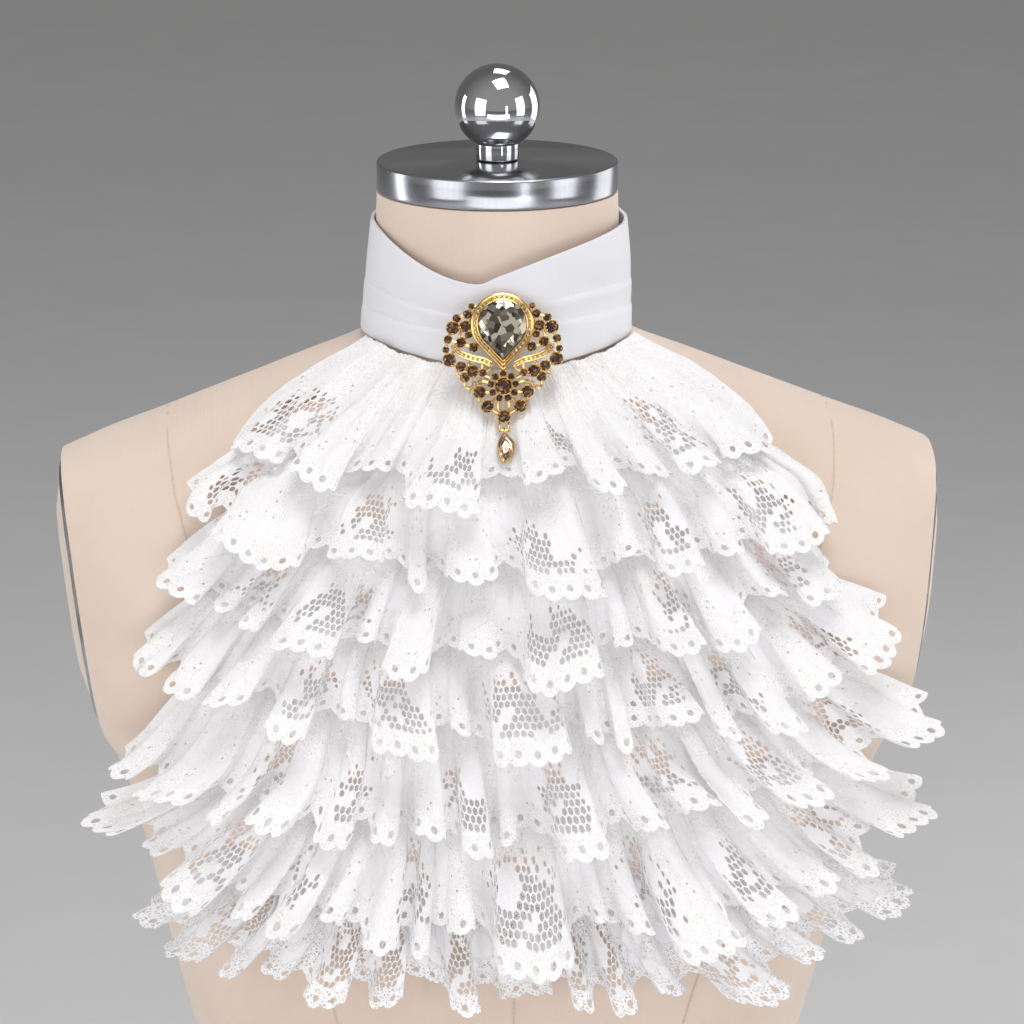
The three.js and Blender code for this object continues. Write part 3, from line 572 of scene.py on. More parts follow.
# %% Ball and collar
KNOB = {"stem": 9.5, "stem_tall": 9, "ball": 18.8, "foot": NECK_DISC["foot"] + NECK_DISC["tall"] + 0.3}
ball_centre = KNOB["foot"] + KNOB["stem_tall"] + math.sqrt(KNOB["ball"] ** 2 - KNOB["stem"] ** 2) - 2
bpy.ops.object.select_all(action="DESELECT")
bpy.ops.mesh.primitive_uv_sphere_add(
    segments=64, ring_count=40, radius=KNOB["ball"] * MM, location=(0, 0, ball_centre * MM),
)
ball = bpy.context.object
ball.name = "neck_ball"
collar = add_cylinder(
    "neck_collar", KNOB["stem"], KNOB["stem_tall"], (0, 0, KNOB["foot"] + KNOB["stem_tall"] / 2), sides=64,
)
round_edges(collar, 0.7, 3, sharper_than=50)
finish_piece(ball, chrome, crisp=60, stands_for=["neck_knob"])
finish_piece(collar, chrome, crisp=35)

# %% [markdown]
# ## The neck band
#
# The band is a stand-up strip of white satin-backed cotton. Its upper edge dips in front, two
# soft tucks run round each side and meet under the brooch, and its ends lap at the back. An
# extruded ring would be quicker, but its dip, tucks and lap would all have to be pushed in later.
# So the cloth is one sheet of points round the neck, given its thickness by Solidify and rounded
# edges by a small bevel, as a turned-in edge has.

# %% Band shape
BAND = {
    "half": 60, "front": 63.5, "back": 57.5, "narrows": 3.6, "shift": 0.8,
    "wall": 1.6, "overlap": 8, "step": 2.2, "tuck": 1.3, "tall": 58, "mean_tall": 46,
}
BAND_TOP = {"front": 661, "side": 679, "back": 686, "dip_at": -0.23, "left_bend": 1.8, "right_bend": 1.6}
BAND_BOTTOM = {"front": 623.3, "side": 630.4, "back": 628}
# For each tuck: its height at the side as a share of the band, and how much it climbs to the front.
TUCKS = ((0.44, 0.2), (0.2, 0.24))


def smoothstep(x, low, high):
    t = np.clip((x - low) / (high - low), 0, 1)
    return t * t * (3 - 2 * t)


def band_top(angle):
    """Height of the upper edge, which dips a little to the left of the middle."""
    across = np.sin(angle)
    left = np.maximum(BAND_TOP["dip_at"] - across, 0) / (1 + BAND_TOP["dip_at"])
    right = np.clip((across - BAND_TOP["dip_at"]) / (1 - BAND_TOP["dip_at"]), 0, 1)
    soft = smoothstep(right, -0.06, 0.12)
    reach = left ** BAND_TOP["left_bend"] + (1 - (1 - right) ** BAND_TOP["right_bend"]) * soft
    in_front = lerp(BAND_TOP["front"], BAND_TOP["side"], reach)
    behind = lerp(BAND_TOP["back"], BAND_TOP["side"], across ** 2)
    return np.where(np.cos(angle) > 0, in_front, behind)


def band_bottom(angle):
    middle = np.where(np.cos(angle) > 0, BAND_BOTTOM["front"], BAND_BOTTOM["back"])
    return lerp(middle, BAND_BOTTOM["side"], np.abs(np.sin(angle)))


def tuck_depth(turn, v):
    """Depth of the two tucks: each is a soft ridge that ends in a crisp fold below it."""
    depth = 0
    for at_side, climb in TUCKS:
        below = v - (at_side + climb * (1 - turn))
        fold = np.where(below < 0, np.exp(-(below / 0.02) ** 2), np.exp(-(below / 0.13) ** 2))
        depth = depth + fold
    return depth * smoothstep(turn, 0.1, 0.5) * (1 - 0.8 * smoothstep(turn, 0.72, 0.98))


def band_point(angle, v):
    """The band's middle surface. v goes from its lower edge, 0, to its upper edge, 1."""
    lap = smoothstep(angle, math.pi * 0.84, math.pi * 0.98) * BAND["step"]
    turn = np.clip(np.abs(angle) / (math.pi / 2), 0, 1)
    ends = smoothstep(math.pi - np.abs(angle), 0.25, 1.1)
    soft = 0.35 * np.sin(3.1 * angle + 4 * v) + 0.25 * np.sin(7.3 * angle - 3 * v)
    grow = lap - BAND["wall"] / 2 - BAND["tuck"] * tuck_depth(turn, v) * ends + soft * ends * (1 - v)
    narrows = v ** 1.5
    half = BAND["half"] + grow - BAND["narrows"] * narrows
    c = np.cos(angle)
    depth = np.where(c > 0, BAND["front"], BAND["back"]) + grow
    z = lerp(band_bottom(angle), band_top(angle), v)
    return np.stack([half * np.sin(angle) + BAND["shift"] * narrows, -depth * c, z], axis=-1)


BAND_COLUMNS, BAND_ROWS = 220, 64
band_lap = math.radians(BAND["overlap"]) / 2
band_angles, band_heights = np.meshgrid(
    np.linspace(-math.pi - band_lap, math.pi + band_lap, BAND_COLUMNS), np.linspace(0, 1, BAND_ROWS),
)
band = mesh_piece(
    "satin_band", band_point(band_angles, band_heights).reshape(-1, 3),
    grid_faces(BAND_ROWS, BAND_COLUMNS),
)
apply_modifier(band, "SOLIDIFY", thickness=BAND["wall"] * MM, offset=0)
round_edges(band, 0.45, 2, sharper_than=60)

# %% [markdown]
# Satin-backed cotton is matt on its face with a slight sheen at grazing light. Threads cross at
# about a third of a millimetre, drawn here at 0.7 mm so that they show. The bib's sheer lawn is
# woven the same way. Thin white cloth also passes on light that reaches it from behind. Tracing
# that through seven tiers is slow, so each thin cloth gives off a little light of its own instead.

# %% Band cloth
PASSED_ON = {"lace": 0.09, "bib": 0.18}


def make_woven_cotton(name, shades, sheen, **glow):
    material, tree, shader, place, _ = two_tone(
        name, "ShaderNodeTexNoise", {"Scale": 22.0, "Detail": 5.0}, shades,
        Roughness=0.62, Sheen_Weight=sheen, Specular_IOR_Level=0.35, **glow,
    )
    warp, weft = [
        add_node(
            tree, "ShaderNodeTexWave", {"Vector": place, "Scale": 450.0, "Distortion": 0.8},
            bands_direction=direction,
        ) for direction in ("X", "Z")
    ]
    weave = add_node(
        tree, "ShaderNodeMath", {0: warp.outputs["Fac"], 1: weft.outputs["Fac"]}, operation="MULTIPLY",
    )
    bump = add_node(
        tree, "ShaderNodeBump", {"Height": weave.outputs[0], "Strength": 0.2, "Distance": 0.0003},
    )
    tree.links.new(bump.outputs["Normal"], shader.inputs["Normal"])
    return material


satin = make_woven_cotton("satin_backed_cotton", ("#DADAE0", "#E2E2E7"), 0.25)
lawn = make_woven_cotton(
    "sheer_cotton_lawn", ("#E8D0C1", "#F0DDD0"), 0.1,
    Emission_Color=linear("#F0E2DA"), Emission_Strength=PASSED_ON["bib"],
)
finish_piece(band, satin, crisp=50, stands_for=["neck_band"])

# %% [markdown]
# Two four-hole shell buttons close the lap at the back. A button is a disc with a sunken face,
# drilled right through by four thin cylinders, and sewn on with two crossing threads. Painted
# holes would stay flat in a close view, so these are cut by a Boolean.

# %% Buttons
BUTTON = {
    "radius": 5, "thick": 2.2, "rim": 1.3, "slope": 0.5, "sunk": 0.6, "hole": 0.65, "hole_at": 1.25,
    "heights": (641, 669), "y": 60.0,
}


def wires(name, paths, radius, closed=False):
    """Round wires along paths of points in millimetres, as one mesh."""
    curve = bpy.data.curves.new(name, "CURVE")
    curve.dimensions = "3D"
    curve.bevel_depth = radius * MM
    curve.bevel_resolution = 2
    curve.use_fill_caps = True
    for path in paths:
        spline = curve.splines.new("POLY")
        spline.points.add(len(path) - 1)
        for point, at in zip(spline.points, path):
            point.co = (*(Vector(at) * MM), 1)
        spline.use_cyclic_u = closed
    made = bpy.data.objects.new(name, curve)
    bpy.context.scene.collection.objects.link(made)
    select_only(made)
    bpy.ops.object.convert(target="MESH")
    return bpy.context.object


def sewn_button(name, stands_for, height):
    middle = Vector((0, BUTTON["y"] + BUTTON["thick"] / 2, height))
    facing = (-math.pi / 2, 0, 0)
    button = add_cylinder(name, BUTTON["radius"], BUTTON["thick"], middle, facing, sides=48)
    select_parts(button, "FACE", lambda face: face.normal.y > 0.9)
    bpy.ops.mesh.inset(thickness=BUTTON["rim"] * MM)
    bpy.ops.mesh.inset(thickness=BUTTON["slope"] * MM, depth=-BUTTON["sunk"] * MM)
    bpy.ops.object.mode_set(mode="OBJECT")
    round_edges(button, 0.3, 3, sharper_than=50)
    for across, up in ((-1, -1), (-1, 1), (1, -1), (1, 1)):
        hole_place = middle + Vector((across, 0, up)) * BUTTON["hole_at"]
        drill = add_cylinder("drill", BUTTON["hole"], BUTTON["thick"] * 2, hole_place, facing, sides=16)
        apply_modifier(button, "BOOLEAN", operation="DIFFERENCE", object=drill, solver="EXACT")
        bpy.data.objects.remove(drill)
    finish_piece(button, shell, crisp=35, stands_for=[stands_for])
    down, up = Vector((0, BUTTON["thick"] * 0.3, 0)), Vector((0, BUTTON["thick"] * 0.42, 0))
    stitches = []
    for across in (-1, 1):
        start, end = [middle + Vector((across * side, 0, side)) * BUTTON["hole_at"] for side in (-1, 1)]
        stitches.append([start + down, start + up, end + up, end + down])
    finish_piece(wires(f"{name}_thread", stitches, 0.3), satin, crisp=60)


shell = two_tone(
    "river_shell", "ShaderNodeTexNoise", {"Scale": 180.0, "Distortion": 2.0}, ("#DCD8CE", "#F4F1E9"),
    Roughness=0.22, Coat_Weight=0.5,
)[0]
for number, height in enumerate(BUTTON["heights"], 1):
    sewn_button(f"shell_button_{number}", f"button_{number}", height)

# %% [markdown]
# ## The bib
#
# The tiers are sewn to a plain lawn bib that hangs over the chest. Most of it is hidden, but it
# shows through the net and between the folds, so it gets real cloth and its own edge. A simulated
# cloth would settle here too, but a sheet laid out on the form's surface fits it at once.

# %% Bib
BIB_OUTLINE_Z = np.array([410, 428, 448, 470, 500, 530, 556, 576, 592, 606, 620], float)
BIB_OUTLINE_HALF = np.array([116, 130, 136, 137, 134, 128, 122, 114, 104, 84, 50], float)
BIB = {"lift": 1.2, "wall": 1.0, "top": 619, "low": 410, "rows": 80, "columns": 91}
bib_share, bib_z = np.meshgrid(
    np.linspace(-1, 1, BIB["columns"]), np.linspace(BIB["low"], BIB["top"], BIB["rows"]),
)
bib_angle = bib_share * angle_at(np.interp(bib_z, BIB_OUTLINE_Z, BIB_OUTLINE_HALF), bib_z)
bib_out = skin_frame(bib_angle, bib_z)[1]
bib_points = skin(bib_angle, bib_z) + bib_out * (BIB["lift"] + BIB["wall"] / 2)
bib = mesh_piece("lawn_bib", bib_points.reshape(-1, 3), grid_faces(BIB["rows"], BIB["columns"]))
apply_modifier(bib, "SOLIDIFY", thickness=BIB["wall"] * MM, offset=0)
finish_piece(bib, lawn, crisp=50, stands_for=["bib"])

# %% [markdown]
# ## The lace tiers
#
# Each tier is a length of edging lace, gathered along its top and sewn to the bib. Gathering
# makes folds that open out towards the hem. A fold is drawn by its section: the cloth's slope
# swings out and back, so the cloth keeps its length, and the place, width and height of each
# fold come from one row of a table. A cloth simulation could gather them, but would drop them
# where it likes. This is the same rule that shaped the CAD tiers.

# %% Folds of the tiers
TIER_COLUMNS = ("seam_mid", "seam_end", "seam_half", "hem_mid", "hem_left_z", "hem_right_z",
                "hem_left", "hem_right", "bend_left", "bend_right")
TIERS = {
    "tier_1": (622, 627, 57, 577, 583, 583, -116, 114, 3, 4),
    "tier_2": (594.5, 602, 88, 539, 567, 558, -136, 138, 2, 2),
    "tier_3": (560, 572, 108, 505, 539, 536, -145, 137, 2, 2),
    "tier_4": (528, 541, 120, 474, 507, 520, -154, 162, 2, 4.5),
    "tier_5": (494, 506, 126, 432, 461, 472, -161, 178, 2, 2),
    "tier_6": (454, 463, 136, 393, 439, 436, -170, 176, 2.5, 3),
    "tier_7": (417, 424, 124, 367, 392, 398, -150, 165, 2, 4),
}
# Each fold: place of its crest, width, how far it stands out, sideways lean, extra drop of the hem.
FOLDS = {
    "tier_1": [
        (-102, 21, 7, -0.1, 0), (-77, 18, 13, -0.2, 3), (-55, 11, 12, 0.2, -2), (-29, 29, 19, 0.1, 8),
        (14, 16, 14, -0.1, -1), (35, 14, 15, 0.3, 3), (54, 12, 14, 0.3, -1), (73, 15, 15, 0.3, 2),
        (98, 22, 8, 0.1, 0),
    ],
    "tier_2": [
        (-127, 9, 7, -0.2, 2), (-98, 34, 18, -0.3, 5), (-61, 21, 16, -0.2, -2), (-40, 7, 9, 0.2, 3),
        (-19, 21, 17, 0.2, -1), (18, 31, 22, 0.2, 5), (45, 9, 11, 0.3, -6), (66, 17, 15, 0.2, 3),
        (87, 11, 11, 0.2, -2), (111, 24, 17, 0.3, 4), (131, 6, 8, 0.2, 1),
    ],
    "tier_3": [
        (-133, 16, 11, -0.3, 3), (-116, 7, 9, -0.2, -1), (-103, 7, 12, -0.3, 2), (-82, 24, 18, -0.2, 5),
        (-61, 7, 10, 0.1, -4), (-42, 18, 17, -0.2, 4), (-17, 15, 15, 0.2, -3), (18, 32, 22, 0.1, 6),
        (44, 7, 10, 0.2, -2), (63, 17, 19, 0.3, 1), (86, 18, 16, 0.3, 6), (106, 9, 11, 0.2, -3),
        (125, 16, 14, 0.2, 3),
    ],
    "tier_4": [
        (-146, 9, 10, -0.3, 1), (-130, 13, 13, -0.2, 3), (-110, 15, 17, -0.3, 2), (-89, 15, 14, -0.2, 7),
        (-70, 6, 9, 0.2, -4), (-48, 26, 20, 0.2, 6), (-24, 8, 9, 0.2, -3), (5, 33, 22, 0.1, 4),
        (32, 7, 11, 0.2, -1), (45, 6, 9, 0.2, 2), (64, 16, 17, 0.3, -5), (84, 9, 12, 0.2, 3),
        (104, 14, 16, 0.3, 4), (124, 13, 12, 0.2, -2), (146, 16, 14, 0.3, 2),
    ],
    "tier_5": [
        (-153, 8, 11, -0.3, 1), (-132, 21, 18, -0.2, 3), (-112, 7, 13, -0.3, 4), (-94, 14, 15, -0.2, 1),
        (-76, 12, 6, 0.1, 6), (-57, 9, 12, 0.1, 2), (-40, 12, 14, 0.2, -4), (-20, 13, 13, 0.2, 3),
        (-3, 7, 13, -0.1, 0), (28, 21, 18, 0.2, 3), (53, 12, 17, 0.3, -1), (73, 12, 15, 0.2, -5),
        (92, 8, 11, 0.3, 3), (112, 18, 15, 0.2, 4), (136, 16, 17, 0.2, 2), (162, 16, 14, 0.3, 0),
    ],
    "tier_6": [
        (-159, 13, 12, -0.3, 1), (-141, 7, 9, -0.2, -2), (-124, 15, 17, -0.2, 5), (-105, 8, 13, 0.2, 2),
        (-89, 10, 14, -0.2, 3), (-75, 7, 8, -0.1, -3), (-60, 11, 14, 0.2, 1), (-44, 7, 8, 0.1, 5),
        (-28, 11, 14, 0.2, -3), (6, 39, 22, 0.1, 9), (37, 6, 10, 0.2, -6), (52, 10, 12, 0.2, -3),
        (74, 20, 19, 0.2, 5), (98, 14, 15, 0.3, 2), (119, 13, 12, 0.2, -2), (138, 9, 12, 0.2, 3),
        (159, 17, 13, 0.3, 0),
    ],
    "tier_7": [
        (-143, 8, 10, -0.3, -3), (-125, 15, 14, -0.2, 2), (-108, 7, 11, -0.2, 4), (-94, 8, 9, -0.1, -2),
        (-78, 13, 13, 0.2, 3), (-58, 11, 13, 0.2, 2), (-26, 12, 14, 0.2, 4), (3, 26, 16, 0.1, -2),
        (30, 9, 8, 0.1, 5), (46, 9, 13, 0.2, 3), (63, 9, 12, 0.2, -2), (90, 22, 17, 0.2, 3),
        (114, 11, 12, 0.2, -3), (133, 9, 10, 0.2, 2), (152, 14, 12, 0.3, 0),
    ],
}
FOLD_TURN = 1.72
FOLD_STEPS = 96
FAN_LEAN = 0.2 / 100
LIFT = {"seam": 3.8, "hem": 12.5, "leaves": 0.35, "gather": 1.5, "ends": 0.6, "flare": 1.6}
LACE_DEPTH = 62.0
HEM_STEPS = 400
# How much lower a fold's crest hangs than its valleys, in mm; the share of a fold's height whose
# hem stays level; and how much the soft cloth adds to the drops that the solids' folds have.
FALL, FALL_LEVEL, DROP_GAIN = 6.0, 0.75, 1.35

fold_slope = FOLD_TURN * np.sin(2 * math.pi * (np.arange(FOLD_STEPS) + 0.5) / FOLD_STEPS)
fold_across = np.concatenate([[0], np.cumsum(np.cos(fold_slope))])
fold_up = np.concatenate([[0], np.cumsum(np.sin(fold_slope))])
fold_across, fold_up = fold_across / fold_across[-1], fold_up / fold_up[FOLD_STEPS // 2]
print("folds:", {name: len(folds) for name, folds in FOLDS.items()})

# %% [markdown]
# Lace is laid out flat, by its distance along the hem and up from it, and then placed on its
# tier by one function. Between the main folds it keeps small ripples, and no hem hangs quite
# even. Both are sums of sines with fixed numbers, so that each run gives the same lace.

# %% Lace on its folds
def ripple(name, s, v):
    """Small waves that a gathered cloth keeps between its main folds, in millimetres."""
    shift = 1.7 * int(name[-1])
    fine = np.sin(2 * math.pi * s / 7.4 + 1.3 * np.sin(s / 23 + shift) + shift)
    broad = np.sin(2 * math.pi * s / 19 + 2.1 * np.sin(s / 41 + 2 * shift))
    return 0.5 * fine * (1 - 0.45 * v) + 0.95 * broad * v * (1 - 0.25 * v)


def waver(name, x):
    """How far a hem strays from its even curve, since no two gathers take up the same cloth."""
    shift = 2.3 * int(name[-1])
    return 1.6 * np.sin(x / 9.5 + shift) + 1.1 * np.sin(x / 4.1 + 2.6 * shift)


def tier_place(name):
    """A function that places flat lace on a tier, and the length of its hem."""
    tier = dict(zip(TIER_COLUMNS, TIERS[name]))
    across, wide, out, lean, drop = np.array(FOLDS[name]).T
    left, right = across - wide / 2, across + wide / 2
    bounds = np.concatenate([[tier["hem_left"]], (right[:-1] + left[1:]) / 2, [tier["hem_right"]]])
    last = len(across) - 1

    def hem_z(x):
        is_left = x < 0
        end = np.where(is_left, tier["hem_left_z"], tier["hem_right_z"])
        reach = np.where(is_left, x / tier["hem_left"], x / tier["hem_right"])
        bend = np.where(is_left, tier["bend_left"], tier["bend_right"])
        return lerp(tier["hem_mid"], end, np.maximum(reach, 0) ** bend)

    def place(u, v, raise_by=0.0):
        i = np.clip(np.floor(u).astype(int), 0, last)
        t = np.clip(u - i, 0, 1)
        across_share = np.interp(t * FOLD_STEPS, np.arange(FOLD_STEPS + 1), fold_across)
        up_share = np.interp(t * FOLD_STEPS, np.arange(FOLD_STEPS + 1), fold_up)
        start, end = bounds[i], bounds[i + 1]
        share = (lerp(start, end, t) - tier["hem_left"]) / (tier["hem_right"] - tier["hem_left"]) * 2 - 1
        seam_x = tier["seam_half"] * share
        seam_z = lerp(tier["seam_mid"], tier["seam_end"], share ** 2)
        hem_x = np.where(
            across_share < 0.25, lerp(start, left[i], across_share * 4),
            np.where(across_share > 0.75, lerp(right[i], end, across_share * 4 - 3),
                     lerp(left[i], right[i], across_share * 2 - 0.5)),
        )
        fallen = DROP_GAIN * drop[i] * up_share + FALL * (up_share - FALL_LEVEL)
        hem_drop = hem_z(hem_x) - fallen - waver(name, hem_x)
        angle = lerp(angle_at(seam_x, seam_z), angle_at(hem_x, hem_drop, 1), v)
        z = lerp(seam_z, hem_drop, v)
        hang = v * v
        leaving = np.maximum(0, (v - LIFT["leaves"]) / (1 - LIFT["leaves"]))
        end_ease = 1 - LIFT["ends"] * share ** 6 * np.where(z > CHEST_FALL["z"], 1, 0.3)
        rise = (LIFT["gather"] + (out[i] - LIFT["gather"]) * v ** LIFT["flare"]) * up_share
        lift = LIFT["seam"] + (LIFT["hem"] - LIFT["seam"]) * leaving * end_ease
        along, outward = skin_frame(angle, z, hang)
        sideways = (lean[i] + FAN_LEAN * across[i]) * rise * v
        away = outward * (lift + rise + raise_by)[..., None]
        return skin(angle, z, hang) + away + along * sideways[..., None]

    u = np.linspace(0, last + 1, HEM_STEPS * (last + 1) + 1)
    u[-1] -= 1e-6
    hem = place(u, np.ones_like(u))
    s = np.concatenate([[0], np.cumsum(np.linalg.norm(np.diff(hem, axis=0), axis=1))])

    def put(flat_s, flat_w, raise_by=0.0):
        """Points for flat lace at s along the hem and w up from it."""
        v = 1 - flat_w / LACE_DEPTH
        waves = ripple(name, flat_s, np.clip(v, 0, 1))
        return place(np.interp(flat_s, s, u), v, waves + raise_by)

    return put, s[-1]


tier_put = {}
tier_length = {}
for tier_name in TIERS:
    tier_put[tier_name], tier_length[tier_name] = tier_place(tier_name)
print("lace along each hem, mm:", {name: round(float(length)) for name, length in tier_length.items()})

# %% [markdown]
# Edging lace is a hexagonal net with flowers worked solid over it, and a scalloped edge with an
# eyelet in every scallop. A see-through pattern on plain cloth would be lighter, but the net is
# made as real holes, because light and the form's colour come through them. Each cell of the net
# is one hexagon of a flat sheet: it stays whole where a flower or dense ground covers it, and
# gets a hole where the net is open. The sheet is then laid on the folds. The flowers are a simple
# repeat of roses, buds and leaves.

# %% Lace pattern
CELL = 3.3
ROW_STEP = CELL * math.sqrt(3) / 2
NET_FROM = 6.9
REPEAT = 73.8
# One repeat: kind, place along and up from the hem, size, turn in degrees.
MOTIFS = [
    ("rose", 0.0, 27.0, 11.5, 10), ("rose", 36.0, 21.0, 8.5, 40), ("rose", 55.0, 41.0, 7.5, 0),
    ("rose", 19.0, 46.0, 8.0, 25), ("leaf", 13.5, 17.0, 7.5, 35), ("leaf", -14.0, 16.0, 7.5, 145),
    ("leaf", 47.0, 14.5, 6.5, 20), ("leaf", 24.5, 31.0, 7.0, 120), ("leaf", 48.0, 29.0, 6.5, 60),
    ("leaf", -11.5, 41.0, 7.0, 60), ("bud", 60.5, 22.0, 4.2, 0), ("bud", 7.5, 11.5, 3.4, 0),
    ("bud", 30.5, 10.8, 3.2, 0), ("bud", 54.0, 10.5, 3.2, 0),
]
# Half width of a leaf as a share of its half length.
LEAF_SLIM = 0.42


def motif_places(s, w):
    """For each motif its kind and size, and where the points lie as seen from its middle."""
    for kind, at_s, at_w, size, turn in MOTIFS:
        x = (s - at_s + REPEAT / 2) % REPEAT - REPEAT / 2
        y = w - at_w
        c, n = math.cos(math.radians(turn)), math.sin(math.radians(turn))
        yield kind, size, x * c + y * n, y * c - x * n


def flower_cover(s, w):
    """How far inside a motif each point is: above 0 inside, up to 1 at its heart."""
    cover = np.full(np.shape(s), -1.0)
    for kind, size, x, y in motif_places(s, w):
        if kind == "rose":
            edge = size * (0.82 + 0.18 * np.abs(np.cos(2.5 * np.arctan2(y, x))))
            here = 1 - np.hypot(x, y) / edge
        elif kind == "leaf":
            here = 1 - np.hypot(x / size, y / (size * LEAF_SLIM))
        else:
            here = 1 - np.hypot(x, y) / size
        cover = np.maximum(cover, here)
    return cover


def petal_relief(s, w):
    """Raised petals and veins inside the motifs, from 0 to 1."""
    relief = np.zeros(np.shape(s))
    for kind, size, x, y in motif_places(s, w):
        reach = np.hypot(x, y) / size
        if kind == "rose":
            petals = 0.5 + 0.5 * np.cos(5 * np.arctan2(y, x))
            here = np.where(reach < 1, 0.35 + 0.65 * petals * np.sin(math.pi * np.clip(reach, 0, 1)), 0)
            here = np.where(reach < 0.22, 0.9, here)
        elif kind == "leaf":
            inside = np.hypot(x / size, y / (size * LEAF_SLIM)) < 1
            here = np.where(inside, 0.75 - 0.4 * np.exp(-(y / 0.7) ** 2), 0)
        else:
            here = np.where(reach < 1, 0.8 * (1 - reach ** 2), 0)
        relief = np.maximum(relief, here)
    return relief


# %% [markdown]
# The net is open only in windows, which lie on the fronts of the widest folds. Their edges are
# uneven, because a lace maker opens the ground round the flowers and not by a ruler.

# %% Windows of open net
WINDOW_GROWS = 1.36
# Place along the hem as x on the form, height above the hem, half sizes.
NET_WINDOWS = {
    "tier_1": [(-104, 18, 15, 11), (-26, 14, 13, 8), (82, 20, 13, 12), (26, 20, 8, 7)],
    "tier_2": [(-127, 16, 8, 9), (-60, 18, 11, 9), (10, 16, 15, 7), (68, 18, 10, 9), (112, 20, 12, 8)],
    "tier_3": [(-110, 18, 12, 12), (-89, 16, 10, 9), (-70, 15, 9, 8), (16, 16, 15, 9), (80, 18, 11, 12),
               (122, 18, 12, 12)],
    "tier_4": [(-89, 18, 13, 10), (-58, 17, 16, 11), (0, 16, 17, 10), (63, 18, 11, 11), (104, 17, 10, 10),
               (146, 18, 12, 10)],
    "tier_5": [(-115, 18, 13, 11), (-72, 16, 11, 9), (-22, 17, 13, 9), (21, 16, 13, 11), (71, 18, 13, 11),
               (122, 18, 13, 12), (158, 18, 12, 10)],
    "tier_6": [(-150, 18, 13, 11), (-104, 16, 10, 9), (-47, 17, 13, 11), (4, 18, 18, 12), (67, 18, 16, 12),
               (120, 16, 10, 9), (156, 18, 13, 11)],
    "tier_7": [(-131, 20, 14, 13), (-80, 18, 13, 12), (-61, 17, 10, 12), (-20, 16, 10, 11), (29, 18, 11, 12),
               (45, 17, 11, 12), (99, 18, 14, 11), (144, 18, 12, 10)],
}


def window_cover(name, s, w, put):
    """Above 0 inside a window of open net, with an uneven edge."""
    hem_s = np.linspace(0, tier_length[name], HEM_STEPS)
    hem_x = put(hem_s, np.zeros(HEM_STEPS))[:, 0]
    inside = np.full(np.shape(s), -1.0)
    for x, up, half_s, half_w in NET_WINDOWS[name]:
        half_s, half_w = half_s * WINDOW_GROWS, half_w * WINDOW_GROWS
        at_s = hem_s[np.argmin(np.abs(hem_x - x))]
        uneven = 0.18 * np.sin(s * 0.9 + w * 0.7) + 0.12 * np.sin(w * 1.3 - s * 0.4)
        here = 1 - np.hypot((s - at_s) / half_s, (w - up) / half_w) + uneven
        inside = np.maximum(inside, here)
    return inside


def scatter(i, j):
    """An even-looking but fixed number from 0 to 1 for each cell."""
    return np.modf(np.abs(np.sin(i * 12.9898 + j * 78.233) * 43758.5453))[0]


# %% [markdown]
# The net's cells share their corners, so the sheet is one piece. The scalloped border is made
# of one unit, an eyelet with its scallop, repeated to the hem's length. Both are flat lists of
# points and faces, which `put` then lays on the tier's folds.

# %% Lace sheet
OPEN_HOLE, SMALL_HOLE, PIN_HOLE = 0.8, 0.6, 0.3
RAISED = {"flower": 0.55, "eyelet": 0.35}
PIN_CHANCE = 0.22
PLAIN = {"heading": 12, "border": 1}
SCALLOP = {"pitch": 8.2, "hole": 1.5, "middle": 3.7, "top": 7.0, "notch": 1.1, "tip": -0.9}


